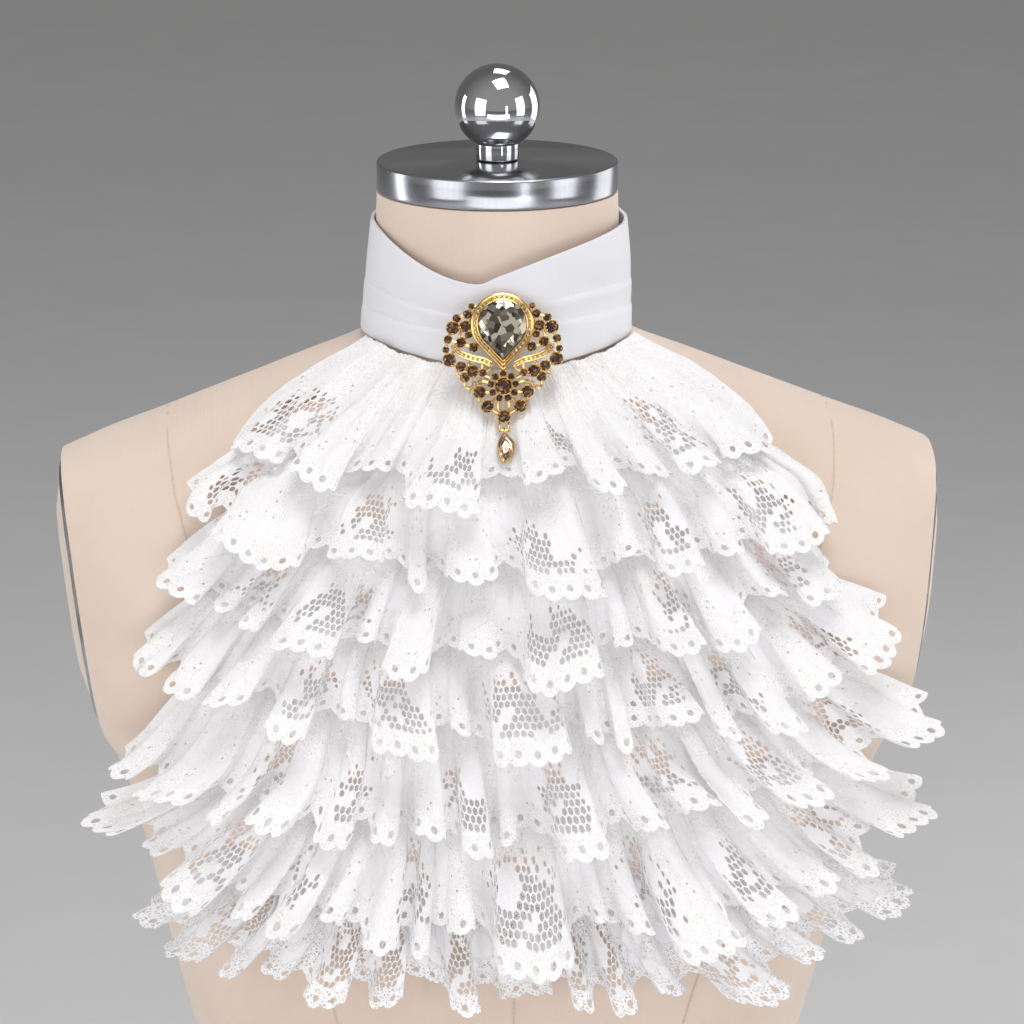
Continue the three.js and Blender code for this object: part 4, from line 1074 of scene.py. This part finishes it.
def net_cells(name, put):
    """Corner points, holes and relief of a tier's net, as flat points, raises and faces."""
    length = tier_length[name]
    rows = int((LACE_DEPTH - NET_FROM) / ROW_STEP) + 1
    i, j = [g.ravel() for g in np.meshgrid(np.arange(-1, int(length / CELL) + 2), np.arange(rows + 1))]
    centre_s = CELL * (i + 0.5 * (j % 2))
    centre_w = NET_FROM + 0.9 + ROW_STEP * j
    kept = (centre_s > -0.2 * CELL) & (centre_s < length + 0.2 * CELL)
    i, j, centre_s, centre_w = i[kept], j[kept], centre_s[kept], centre_w[kept]
    around = np.radians(30 + 60 * np.arange(6))
    corner_s = centre_s[:, None] + CELL / math.sqrt(3) * np.cos(around)
    corner_w = centre_w[:, None] + CELL / math.sqrt(3) * np.sin(around)
    corners = np.stack([corner_s, corner_w], axis=-1).reshape(-1, 2)
    shared, corner_of = np.unique(np.round(corners, 3), axis=0, return_inverse=True)
    corner_of = corner_of.reshape(-1, 6)
    shared[:, 0] = np.clip(shared[:, 0], 0, length)
    shared[:, 1] = np.clip(shared[:, 1], NET_FROM, LACE_DEPTH)

    cover = flower_cover(centre_s, centre_w)
    window = window_cover(name, centre_s, centre_w, put)
    chance = scatter(i, j)
    # Full holes stop short of a flower's middle, small ones ring each window, and a few pinholes
    # are scattered over the dense ground near the flowers.
    hole = np.where((window > 0) & (cover < 0.3), OPEN_HOLE, 0.0)
    hole = np.where((window > -0.2) & (window <= 0) & (cover < 0.2), SMALL_HOLE, hole)
    ground = (hole == 0) & (cover < 0.02) & (cover > -0.4) & (chance < PIN_CHANCE)
    hole = np.where(ground, PIN_HOLE, hole)
    plain = (centre_w > LACE_DEPTH - PLAIN["heading"]) | (centre_w < NET_FROM + PLAIN["border"])
    hole = np.where(plain, 0, hole)

    relief = petal_relief(shared[:, 0], shared[:, 1]) * RAISED["flower"]
    points, raises, faces = [shared], [relief], []
    base = len(shared)
    for k in range(len(hole)):
        ring = corner_of[k]
        if hole[k] == 0:
            faces.append(ring)
            continue
        middle = shared[ring].mean(axis=0)
        points.append(middle + (shared[ring] - middle) * hole[k])
        raises.append(np.full(6, relief[ring].mean()))
        faces.extend((ring[m], ring[(m + 1) % 6], base + (m + 1) % 6, base + m) for m in range(6))
        base += 6
    open_cells = int((hole == OPEN_HOLE).sum())
    return np.concatenate(points), np.concatenate(raises), faces, open_cells


def scalloped_border(name):
    """The eyelets and scallops along a hem, as flat points, raises and faces."""
    length = tier_length[name]
    count = round(length / SCALLOP["pitch"])
    half = length / count / 2
    bottom = [
        (x * half, lerp(SCALLOP["tip"], SCALLOP["notch"], abs(x) ** 2.2)) for x in (0.66, 0.25, -0.25, -0.66)
    ]
    rim = np.array([
        (-half, SCALLOP["top"]), (-half / 3, SCALLOP["top"]), (half / 3, SCALLOP["top"]),
        (half, SCALLOP["top"]), (half, SCALLOP["middle"]), (half, SCALLOP["notch"]),
        *bottom, (-half, SCALLOP["notch"]), (-half, SCALLOP["middle"]),
    ])
    turn = np.arctan2(rim[:, 1] - SCALLOP["middle"], rim[:, 0])
    eyelet = np.stack([np.cos(turn), np.sin(turn)], axis=1) * SCALLOP["hole"] + (0, SCALLOP["middle"])
    steps = len(rim)
    points, raises, faces = [], [], []
    for k in range(count):
        shift = np.array([(2 * k + 1) * half, 0])
        base = 2 * steps * k
        points += [rim + shift, eyelet + shift]
        raises += [np.zeros(steps), np.full(steps, RAISED["eyelet"])]
        for m in range(steps):
            n = (m + 1) % steps
            faces.append((base + n, base + m, base + steps + m, base + steps + n))
    return np.concatenate(points), np.concatenate(raises), faces


def lace_tier(name):
    """One tier of lace as a finished mesh: net, border, and the thickness of the threads."""
    put = tier_put[name]
    net_points, net_raises, net_faces, open_cells = net_cells(name, put)
    border_points, border_raises, border_faces = scalloped_border(name)
    flat = np.concatenate([net_points, border_points])
    raises = np.concatenate([net_raises, border_raises])
    faces = net_faces + [[k + len(net_points) for k in face] for face in border_faces]
    piece = mesh_piece(f"lace_{name}", put(flat[:, 0], flat[:, 1], raises), faces)
    cloth = piece.data.attributes.new("cloth", "FLOAT_VECTOR", "POINT")
    cover = np.clip(flower_cover(flat[:, 0], flat[:, 1]), 0, 1)
    cloth.data.foreach_set("vector", np.column_stack([flat * MM, cover]).astype(np.float32).ravel())
    apply_modifier(piece, "WELD", merge_threshold=0.02 * MM)
    apply_modifier(piece, "SOLIDIFY", thickness=0.5 * MM, offset=0)
    return piece, open_cells


# %% [markdown]
# Machine lace is spun polyester or cotton thread. Seen close, dense areas show rows of fine
# crosswise threads about a millimetre apart, flowers are padded a little, and light goes a short
# way through it. The pattern follows the cloth, so the material reads the flat place of each
# point, kept in an attribute of the mesh.

# %% Lace thread
# Pitch of the finest net in mm, and the half width of its thread and its soft edge as shares.
FINE_NET = {"pitch": 1.5, "thread": 0.17, "edge": 0.08}


def make_lace_thread(name, is_sheer):
    """Bleached lace, with a net between its motifs that is too fine for the mesh. The sheer
    one is clear between its threads, and the dense one has painted shade there instead, a warm
    grey for the shaded layers behind that would show through."""
    material, tree, shader = new_material(
        name, Roughness=0.85, Sheen_Weight=0.2, Specular_IOR_Level=0.3,
        Emission_Color=linear("#FDFAF9"), Emission_Strength=PASSED_ON["lace"],
    )
    flat = add_node(tree, "ShaderNodeAttribute", attribute_name="cloth").outputs["Vector"]
    parts = add_node(tree, "ShaderNodeSeparateXYZ", {"Vector": flat})
    threads = add_node(
        tree, "ShaderNodeTexWave", {"Vector": flat, "Scale": 290.0, "Distortion": 2.5, "Detail": 2.0},
        bands_direction="Y",
    )
    knots = add_node(tree, "ShaderNodeTexVoronoi", {"Vector": flat, "Scale": 900.0})
    uneven = add_node(tree, "ShaderNodeTexNoise", {"Vector": flat, "Scale": 45.0, "Detail": 4.0})
    tint = add_node(tree, "ShaderNodeValToRGB", {"Fac": uneven.outputs["Fac"]})
    tint.color_ramp.elements[0].position = 0.32
    tint.color_ramp.elements[0].color = linear("#DEDDDF")
    tint.color_ramp.elements[1].position = 0.66
    tint.color_ramp.elements[1].color = linear("#E9E8EB")
    mixed = add_node(
        tree, "ShaderNodeMath", {0: threads.outputs["Fac"], 1: knots.outputs["Distance"]}, operation="ADD",
    )
    padded = add_node(
        tree, "ShaderNodeMath", {0: parts.outputs["Z"], 1: 1.2, 2: mixed.outputs[0]},
        operation="MULTIPLY_ADD",
    )
    bump = add_node(
        tree, "ShaderNodeBump", {"Height": padded.outputs[0], "Strength": 0.3, "Distance": 0.0005},
    )
    tree.links.new(bump.outputs["Normal"], shader.inputs["Normal"])
    net = add_node(
        tree, "ShaderNodeTexVoronoi", {"Vector": flat, "Scale": 1 / (FINE_NET["pitch"] * MM)},
        feature="DISTANCE_TO_EDGE",
    )
    thread = add_node(
        tree, "ShaderNodeMapRange",
        {"Value": net.outputs["Distance"], "From Min": FINE_NET["thread"],
         "From Max": FINE_NET["thread"] + FINE_NET["edge"], "To Min": 1.0, "To Max": 0.0},
    )
    solid = add_node(
        tree, "ShaderNodeMapRange", {"Value": parts.outputs["Z"], "From Min": 0.02, "From Max": 0.16},
    )
    filled = add_node(
        tree, "ShaderNodeMath", {0: thread.outputs["Result"], 1: solid.outputs["Result"]},
        operation="MAXIMUM",
    )
    if is_sheer:
        tree.links.new(filled.outputs[0], shader.inputs["Alpha"])
    # In the dense lace the gaps of the fine net get painted shade: a warm grey for the shaded layers behind
    # them.
    shaded = add_node(
        tree, "ShaderNodeMix",
        {"Factor": filled.outputs[0], "A": linear("#D6D0CC"), "B": tint.outputs["Color"]}, data_type="RGBA",
    )
    tree.links.new(shaded.outputs["Result"], shader.inputs["Base Color"])
    return material


dense_lace = make_lace_thread("bleached_lace_dense", False)
sheer_lace = make_lace_thread("bleached_lace_sheer", True)
SHEER_TIERS = ("tier_7",)
for tier_name in TIERS:
    lace, open_cells = lace_tier(tier_name)
    thread = sheer_lace if tier_name in SHEER_TIERS else dense_lace
    finish_piece(lace, thread, crisp=55, stands_for=[tier_name])
    print("open net cells:", open_cells)

# %% [markdown]
# ## The brooch
#
# The brooch is costume jewellery: an open casting in gold-plated zinc alloy, set with foil-backed
# glass. It could be sculpted as one lump, but its cups and stones repeat, so it is put together
# flat, in its own plane, and then tilted onto the band. Wires of gold join the cups of
# forty-five brown stones; a pear-shaped rim and two curved wings carry small pale ones. Each
# kind of cup and stone is modelled once and set in place many times.

# %% Metals and glass
BROOCH = {"at": (-2, -73.6, 634), "lean": 18, "drop_lean": 42, "base": -1.0}
brooch_frame = (
    Matrix.Translation(Vector(BROOCH["at"]) * MM) @ Matrix.Rotation(math.radians(90 - BROOCH["lean"]), 4, "X")
)


def make_gold():
    material, tree, shader, _, wear = two_tone(
        "gold_plated_casting", "ShaderNodeTexNoise", {"Scale": 350.0, "Detail": 3.0},
        ("#C79B55", "#E8C785"), Metallic=1.0,
    )
    polish = add_node(
        tree, "ShaderNodeMapRange", {"Value": wear.outputs["Fac"], "To Min": 0.16, "To Max": 0.3},
    )
    tree.links.new(polish.outputs["Result"], shader.inputs["Roughness"])
    return material


def make_foiled_glass(name, shades, cell, glint_from=0.78):
    """Cut glass over foil. The cells stand for the back facets that show through the front,
    and their lighter shades are painted glints, light sent back off the foil.
    """
    material, tree, shader = new_material(
        name, Metallic=0.75, Roughness=0.06, Coat_Weight=1.0, Coat_Roughness=0.02, Coat_IOR=1.55,
    )
    place = add_node(tree, "ShaderNodeTexCoord").outputs["Object"]
    facets = add_node(tree, "ShaderNodeTexVoronoi", {"Vector": place, "Scale": 1 / (cell * MM)})
    pick = add_node(tree, "ShaderNodeSeparateColor", {"Color": facets.outputs["Color"]})
    # The darker shades are the glass's own colour. The lighter ones, brightest last, are painted glints, as
    # if some back facets sent light back off the foil.
    tint = add_node(tree, "ShaderNodeValToRGB", {"Fac": pick.outputs["Red"]})
    tint.color_ramp.interpolation = "CONSTANT"
    tint.color_ramp.elements[0].color = linear(shades[0])
    tint.color_ramp.elements[1].position = glint_from
    tint.color_ramp.elements[1].color = linear(shades[-1])
    for number, shade in enumerate(shades[1:-1], 1):
        tint.color_ramp.elements.new(glint_from * number / (len(shades) - 1)).color = linear(shade)
    tree.links.new(tint.outputs["Color"], shader.inputs["Base Color"])
    return material


gold = make_gold()
smoky_crystal = make_foiled_glass(
    "smoky_crystal", ["#2B2723", "#57503F", "#8B8373", "#6A6252", "#D9D1C0"], 2.6,
)
brown_topaz = make_foiled_glass("brown_topaz_glass", ["#2E1A12", "#4A2D20", "#6B4634", "#B08468"], 0.9)
pale_glass = make_foiled_glass("pale_glass", ["#B9A878", "#E3D9B9", "#FFFFFF"], 0.5)
honey_glass = make_foiled_glass("honey_glass", ["#5A3E2C", "#8E6B50", "#B39475", "#E5D2BC"], 2.2)

# %% [markdown]
# A round stone is a brilliant cut in its simplest form: a cone frustum for the crown, turned by
# half a facet at its table so that its sides break into triangles, and a pointed pavilion drawn
# down from the girdle. The cup is a short cylinder hollowed by insets, with four claws.

# %% Stone and cup models
def cut_stone(name, sides=8):
    """A cut stone of radius 1 mm, with its girdle at height 0."""
    bpy.ops.object.select_all(action="DESELECT")
    bpy.ops.mesh.primitive_cone_add(
        vertices=sides, radius1=1.0 * MM, radius2=0.55 * MM, depth=0.5 * MM, location=(0, 0, 0.25 * MM),
    )
    stone = bpy.context.object
    stone.name = name
    bpy.ops.object.transform_apply(location=True)
    select_parts(stone, "FACE", lambda face: face.normal.z > 0.9)
    bpy.ops.transform.rotate(
        value=math.pi / sides, orient_axis="Z", center_override=(0, 0, 0.5 * MM),
    )
    bpy.ops.object.mode_set(mode="OBJECT")
    select_parts(stone, "FACE", lambda face: face.normal.z < -0.9)
    bpy.ops.mesh.extrude_region_move(TRANSFORM_OT_translate={"value": (0, 0, -0.7 * MM)})
    bpy.ops.transform.resize(value=(0.15, 0.15, 1), center_override=(0, 0, 0))
    bpy.ops.mesh.select_all(action="SELECT")
    bpy.ops.mesh.quads_convert_to_tris()
    bpy.ops.object.mode_set(mode="OBJECT")
    return stone


def joined(pieces):
    """Joins pieces into the first one."""
    bpy.ops.object.select_all(action="DESELECT")
    for piece in pieces:
        piece.select_set(True)
    bpy.context.view_layer.objects.active = pieces[0]
    bpy.ops.object.join()
    bpy.ops.object.transform_apply(location=True, rotation=True, scale=True)
    return pieces[0]


def stone_cup(name):
    """A cup for a stone of radius 1 mm: its foot at height 0, its lip at 0.85, four claws on it."""
    cup = add_cylinder(name, 1.2, 0.85, (0, 0, 0.425), sides=20)
    select_parts(cup, "FACE", lambda face: face.normal.z > 0.9)
    bpy.ops.mesh.inset(thickness=0.16 * MM)
    bpy.ops.mesh.extrude_region_move(TRANSFORM_OT_translate={"value": (0, 0, -0.5 * MM)})
    bpy.ops.object.mode_set(mode="OBJECT")
    round_edges(cup, 0.05, 2, sharper_than=50)
    claws = [cup]
    for quarter in range(4):
        turn = math.radians(45 + 90 * quarter)
        bpy.ops.object.select_all(action="DESELECT")
        bpy.ops.mesh.primitive_uv_sphere_add(
            segments=8, ring_count=6, radius=0.2 * MM,
            location=Vector((1.02 * math.cos(turn), 1.02 * math.sin(turn), 0.93)) * MM,
        )
        claws.append(bpy.context.object)
    return joined(claws)


def set_copies(model, name, places):
    """Copies a model to each (across, up, height, size) of the brooch's plane, as one piece."""
    copies = []
    for number, (across, up, height, size) in enumerate(places):
        one = model.copy()
        one.data = model.data.copy()
        bpy.context.scene.collection.objects.link(one)
        one.matrix_world = (
            Matrix.Translation(Vector((across, up, height)) * MM)
            @ Matrix.Rotation(number * 0.7, 4, "Z") @ Matrix.Scale(size, 4)
        )
        copies.append(one)
    made = joined(copies)
    made.name = name
    return made


# %% [markdown]
# The layout below is for one half; the other half is its mirror. A stone is given by its place
# across and up from the brooch's centre and its radius, and each gold branch by the points that
# it runs through, most of which are stones.

# %% Layout of the brooch
SIDE_STONES = [
    (14.8, 16.5, 1.7), (19.4, 14.8, 1.6), (21.2, 10.7, 2.5), (15.8, 11.3, 2.2), (23.3, 5.8, 1.6),
    (17.8, 4.4, 2.0), (12.4, 2.3, 1.9), (22.9, -3.0, 2.5), (18.0, -5.9, 2.0), (13.2, -8.0, 2.4),
    (16.4, -10.6, 1.9), (10.2, -17.0, 2.4), (7.0, -23.1, 2.4),
    (13.0, 19.9, 1.2), (14.5, 7.6, 1.4), (24.3, 1.4, 1.3), (8.7, -8.7, 1.5),
]
CENTRE_STONES = [(0, -14.5, 3.3), (0, -27.4, 2.5)]
FLOWER = {"at": (0, -14.5), "petals": 9, "reach": 5.4, "petal": 1.35}
BRANCHES = [
    [(10.5, 19.5), (13.0, 19.9), (14.8, 16.5), (19.4, 14.8), (21.2, 10.7), (23.3, 5.8), (24.3, 1.4),
     (22.9, -3.0)],
    [(12.6, 15.0), (15.8, 11.3), (21.2, 10.7)],
    [(12.6, 9.0), (14.5, 7.6), (17.8, 4.4), (22.4, 5.2)],
    [(15.8, 11.3), (18.2, 8.0), (17.8, 4.4), (12.4, 2.3), (9.6, 3.4)],
    [(21.4, 2.8), (17.8, 4.4)],
    [(22.9, -3.0), (18.0, -5.9), (13.2, -8.0), (8.7, -8.7), (5.2, -6.4), (5.2, -5.0)],
    [(20.6, 1.6), (22.9, -3.0)],
    [(12.3, -2.7), (14.6, -5.0), (13.2, -8.0), (16.4, -10.6), (19.6, -9.0), (18.0, -5.9)],
    [(8.6, -3.4), (8.7, -8.7), (5.6, -11.0)],
    [(5.2, -13.5), (8.6, -12.4), (12.0, -13.4), (14.4, -15.4), (16.4, -14.2), (16.4, -10.6)],
    [(5.0, -17.0), (10.2, -17.0), (12.6, -14.2)],
    [(10.2, -17.0), (10.4, -20.6), (7.0, -23.1), (3.6, -19.5)],
    [(7.0, -23.1), (3.6, -25.4), (0, -27.4)],
    [(1.6, -19.6), (2.4, -23.6), (0, -27.4)],
    [(0, -6.0), (1.0, -8.2), (0, -10.6)],
]
WING = [(21.4, 2.8), (17.5, -0.6), (12.3, -2.6), (8.6, -3.4), (5.2, -5.0)]
LEAF_STONES = [(10.0, -12.6, 1.0), (12.2, -13.2, 0.9), (14.2, -15.0, 0.8)]
PEAR = {"radius": 10.5, "middle": 11.9, "tip": -3.5, "rim": 2.4, "stones": 38}
print("stones of one side:", len(SIDE_STONES), "branches of one side:", len(BRANCHES))

# %% [markdown]
# The wires follow smooth curves through the points of the layout. A spline that passes through
# each of its points suits this, where a Bezier's handles would have to be guessed one by one.

# %% Curves through points
def smooth_path(points, steps=6):
    """A smooth curve through points, as more points."""
    points = np.array(points, float)
    padded = np.vstack([2 * points[0] - points[1], points, 2 * points[-1] - points[-2]])
    path = []
    for a, b, c, d in zip(padded[:-3], padded[1:-2], padded[2:-1], padded[3:]):
        for t in np.arange(steps) / steps:
            path.append(0.5 * (2 * b + (c - a) * t + (2 * a - 5 * b + 4 * c - d) * t ** 2
                               + (3 * b - a - 3 * c + d) * t ** 3))
    return np.array(path + [points[-1]])


def evenly(points, count, closed=False):
    """Points spaced evenly along a path."""
    points = np.array(points, float)
    if closed:
        points = np.vstack([points, points[:1]])
    along = np.concatenate([[0], np.cumsum(np.linalg.norm(np.diff(points, axis=0), axis=1))])
    at = np.linspace(0, along[-1], count + 1)[:-1] if closed else np.linspace(0, along[-1], count)
    return np.column_stack([np.interp(at, along, points[:, k]) for k in range(points.shape[1])])


def pear_outline(margin, count):
    """Even points round a pear with its point down, moved out by a margin; the first is the tip."""
    reach = PEAR["middle"] - PEAR["tip"]
    radius = PEAR["radius"] + margin
    tangent = math.acos(PEAR["radius"] / reach)
    turn = np.linspace(-math.pi / 2 + tangent, 1.5 * math.pi - tangent, 60)
    arc = np.column_stack([radius * np.cos(turn), PEAR["middle"] + radius * np.sin(turn)])
    tip = [[0, PEAR["middle"] - radius / math.cos(tangent)]]
    return evenly(np.vstack([tip, arc]), count, closed=True)


def at_height(points, height):
    return [(x, y, height) for x, y in points]


def mirrored(paths):
    """Each path, and its mirror image unless it lies on the middle."""
    both = list(paths)
    for path in paths:
        if any(abs(point[0]) > 0.01 for point in path):
            both.append([(-point[0], *point[1:]) for point in path])
    return both


def both_sides(stones):
    return stones + [(-across, up, radius) for across, up, radius in stones]


def cup_foot(radius):
    """Height of a cup's foot. Small stones sit a little higher, on the wires."""
    return BROOCH["base"] + (0.5 if radius < 1.6 else 0)


def loop(across, middle, tall, deep, count):
    """A round or oval loop of wire, seen edge on from the front."""
    turns = np.linspace(0, 2 * math.pi, count, endpoint=False)
    return [(across, middle + tall * math.sin(t), deep * math.cos(t)) for t in turns]


# %% [markdown]
# A casting's wires, cups and rims run into one another, so all the gold is joined into one piece.
# They could be fused by Booleans, but metal that only overlaps looks the same and stays light.

# %% Gold
petals = [
    (FLOWER["reach"] * math.sin(2 * math.pi * k / FLOWER["petals"]) + FLOWER["at"][0],
     FLOWER["reach"] * math.cos(2 * math.pi * k / FLOWER["petals"]) + FLOWER["at"][1], FLOWER["petal"])
    for k in range(FLOWER["petals"])
]
brown_stones = both_sides(SIDE_STONES) + CENTRE_STONES + petals
leaf_stones = both_sides(LEAF_STONES)
wing_path = smooth_path(WING)
wings = [wing_path, wing_path * (-1, 1)]
pale_stones = [(*at, 0.72) for wing in wings for at in evenly(wing, 10)]
pale_stones += [(*at, 0.74) for at in pear_outline(PEAR["rim"] * 0.5, PEAR["stones"])]

cup_model = stone_cup("cup_model")
gold_parts = [set_copies(cup_model, "cups", [
    (across, up, cup_foot(radius), radius) for across, up, radius in brown_stones + leaf_stones
])]
bpy.data.objects.remove(cup_model)
branch_paths = mirrored([at_height(smooth_path(branch), -0.35) for branch in BRANCHES])
gold_parts.append(wires("branches", branch_paths, 0.62))
# For each wire round the pear: how far it lies outside the stone, its height and its radius.
RIM_WIRES = (
    (PEAR["rim"], 1.0, 0.75), (0.25, 1.7, 0.5), (PEAR["rim"] * 0.55, -0.2, 0.95),
    (PEAR["rim"] * 0.5, 0.6, 0.85),
)
for margin, height, radius in RIM_WIRES:
    gold_parts.append(wires("rim_wire", [at_height(pear_outline(margin, 72), height)], radius, closed=True))
for offset, height, radius in ((0.95, 0.5, 0.42), (-0.95, 0.5, 0.42), (0, -0.1, 0.85)):
    paths = []
    for wing in wings:
        away = unit(np.gradient(wing, axis=0))[:, ::-1] * (-offset, offset)
        paths.append(at_height(wing + away, height))
    gold_parts.append(wires("wing_wire", paths, radius))
HANGER = {"below": -33.4, "ear_at": 1.9, "pin": 0.5, "wire": 0.45}
for ear in (-1, 1):
    ear_loop = loop(ear * HANGER["ear_at"], HANGER["below"] + 1.6, 2.0, 1.1, 20)
    gold_parts.append(wires("ear", [ear_loop], HANGER["wire"], closed=True))
pin_ends = [(-2.3, HANGER["below"], 0), (2.3, HANGER["below"], 0)]
gold_parts.append(wires("pin", [pin_ends], HANGER["pin"]))
plate = wires("back_plate", [at_height(pear_outline(-1.2, 48), -0.9)], 1.1, closed=True)
gold_parts.append(plate)


def flat_face(name, outline, height):
    """One flat face inside an outline in millimetres."""
    bpy.ops.object.select_all(action="DESELECT")
    bpy.ops.mesh.primitive_circle_add(vertices=len(outline), radius=1 * MM, fill_type="NGON")
    made = bpy.context.object
    made.name = name
    for vertex, at in zip(made.data.vertices, outline):
        vertex.co = (at[0] * MM, at[1] * MM, height * MM)
    return made


foil = flat_face("foil_plate", pear_outline(0.4, 48), 0.1)
apply_modifier(foil, "SOLIDIFY", thickness=1.2 * MM, offset=0)
gold_parts.append(foil)
setting = joined(gold_parts)
setting.name = "brooch_gold"
setting.matrix_world = brooch_frame
finish_piece(setting, gold, crisp=40, stands_for=["brooch_setting"])
print("brown stones:", len(brown_stones), "pale stones:", len(pale_stones))

# %% [markdown]
# The small stones of one kind are one piece, with each stone a copy set at its cup's lip or on
# its wire. Their glass is told apart by colour: brown, and pale for the rim, wings and leaves.

# %% Stones
stone_model = cut_stone("stone_model")
settings = [
    ("brooch_brown_stones", brown_stones, 0.85, 0.97, brown_topaz, "topaz"),
    ("brooch_pale_stones", pale_stones, 0, 1.0, pale_glass, "crystal"),
    ("brooch_leaf_stones", leaf_stones, 0.85, 0.97, pale_glass, "crystal"),
]
for stone_name, stones, lip, fit, glass, slot in settings:
    places = []
    for across, up, radius in stones:
        on_rim = math.hypot(across, up - PEAR["middle"]) < PEAR["radius"] + PEAR["rim"] + 1
        wire_top = 1.6 if on_rim else 0.85
        seat = cup_foot(radius) + lip * radius if lip else wire_top
        places.append((across, up, seat, radius * fit))
    stones_piece = set_copies(stone_model, stone_name, places)
    stones_piece.matrix_world = brooch_frame
    finish_piece(stones_piece, glass, crisp=5)
bpy.data.objects.remove(stone_model)

# %% [markdown]
# The large stone is a pear cut. It starts as a flat pear of eighteen points, which is drawn up
# straight for its girdle and then narrowed in two steps to the table. Poking each side face
# breaks it into the small triangles that make such a stone flash.

# %% Pear stone
def gem_from_outline(name, outline, foot, middle, steps, facets_above, poke):
    """A stone drawn up from its outline in steps of rise and share, with its sides broken up."""
    stone = flat_face(name, outline, foot)
    select_parts(stone, "FACE", lambda face: True)
    for rise, share in steps:
        bpy.ops.mesh.extrude_region_move(TRANSFORM_OT_translate={"value": (0, 0, rise * MM)})
        bpy.ops.transform.resize(value=(share, share, 1), center_override=Vector(middle) * MM)
    bpy.ops.object.mode_set(mode="OBJECT")
    select_parts(
        stone, "FACE", lambda face: abs(face.normal.z) < 0.97 and face.center.z > facets_above * MM,
    )
    bpy.ops.mesh.poke(offset=poke * MM)
    bpy.ops.object.mode_set(mode="OBJECT")
    return stone


crystal = gem_from_outline(
    "brooch_pear_stone", pear_outline(-0.2, 18), 2.0, (0, 10, 0), ((0.5, 1.0), (1.1, 0.8), (0.7, 0.72)),
    facets_above=2.6, poke=0.12,
)
crystal.matrix_world = brooch_frame
finish_piece(crystal, smoky_crystal, crisp=3, stands_for=["brooch_crystal"])

# %% [markdown]
# The drop hangs loose from the lowest pin, so it is its own body and swings on it. It is a
# curved pear stone in a gold rim, with a round eye at its top, and is cut from a flat outline in
# the same way as the large stone.

# %% Drop
drop_frame = (
    brooch_frame @ Matrix.Translation(Vector((0, HANGER["below"], 0)) * MM)
    @ Matrix.Rotation(math.radians(BROOCH["lean"] - BROOCH["drop_lean"]), 4, "X")
)
DROP = {"eye": 1.25, "eye_wire": 0.32, "top": -1.5, "tall": 14.0, "wide": 6.6, "points": 28}
# For each level of the drop: how far down it is, how far its middle bends aside, its half width.
DROP_SIDES = [(0, 0.0, 0.06), (0.1, 0.2, 0.2), (0.3, 0.55, 0.46), (0.52, 0.55, 0.5), (0.74, 0.25, 0.42),
              (0.9, -0.3, 0.24), (1.0, -0.75, 0.05)]


def drop_outline():
    """The drop's edge, up one side and down the other, curved like a comma."""
    down, bend, half = np.array(DROP_SIDES).T
    y = DROP["top"] - down * DROP["tall"]
    right = np.column_stack([bend + half * DROP["wide"], y])
    left = np.column_stack([bend - half * DROP["wide"], y])
    return evenly(smooth_path(np.vstack([right, left[::-1]])), DROP["points"], closed=True)


outline = drop_outline()
drop_stone = gem_from_outline(
    "drop_stone", outline, -0.5, (0.3, DROP["top"] - DROP["tall"] * 0.55, 0),
    ((0.6, 1.0), (0.9, 0.72), (0.4, 0.6)), facets_above=0.2, poke=0.1,
)
drop_stone.matrix_world = drop_frame
finish_piece(drop_stone, honey_glass, crisp=3, body="drop", stands_for=["brooch_drop"])

eye = loop(0, -0.45, DROP["eye"], DROP["eye"], 24)
drop_gold = joined([
    wires("drop_rim", [at_height(outline, -0.15)], 0.45, closed=True),
    wires("drop_eye", [eye], DROP["eye_wire"], closed=True),
])
drop_gold.name = "drop_gold"
drop_gold.matrix_world = drop_frame
finish_piece(drop_gold, gold, crisp=40, body="drop")
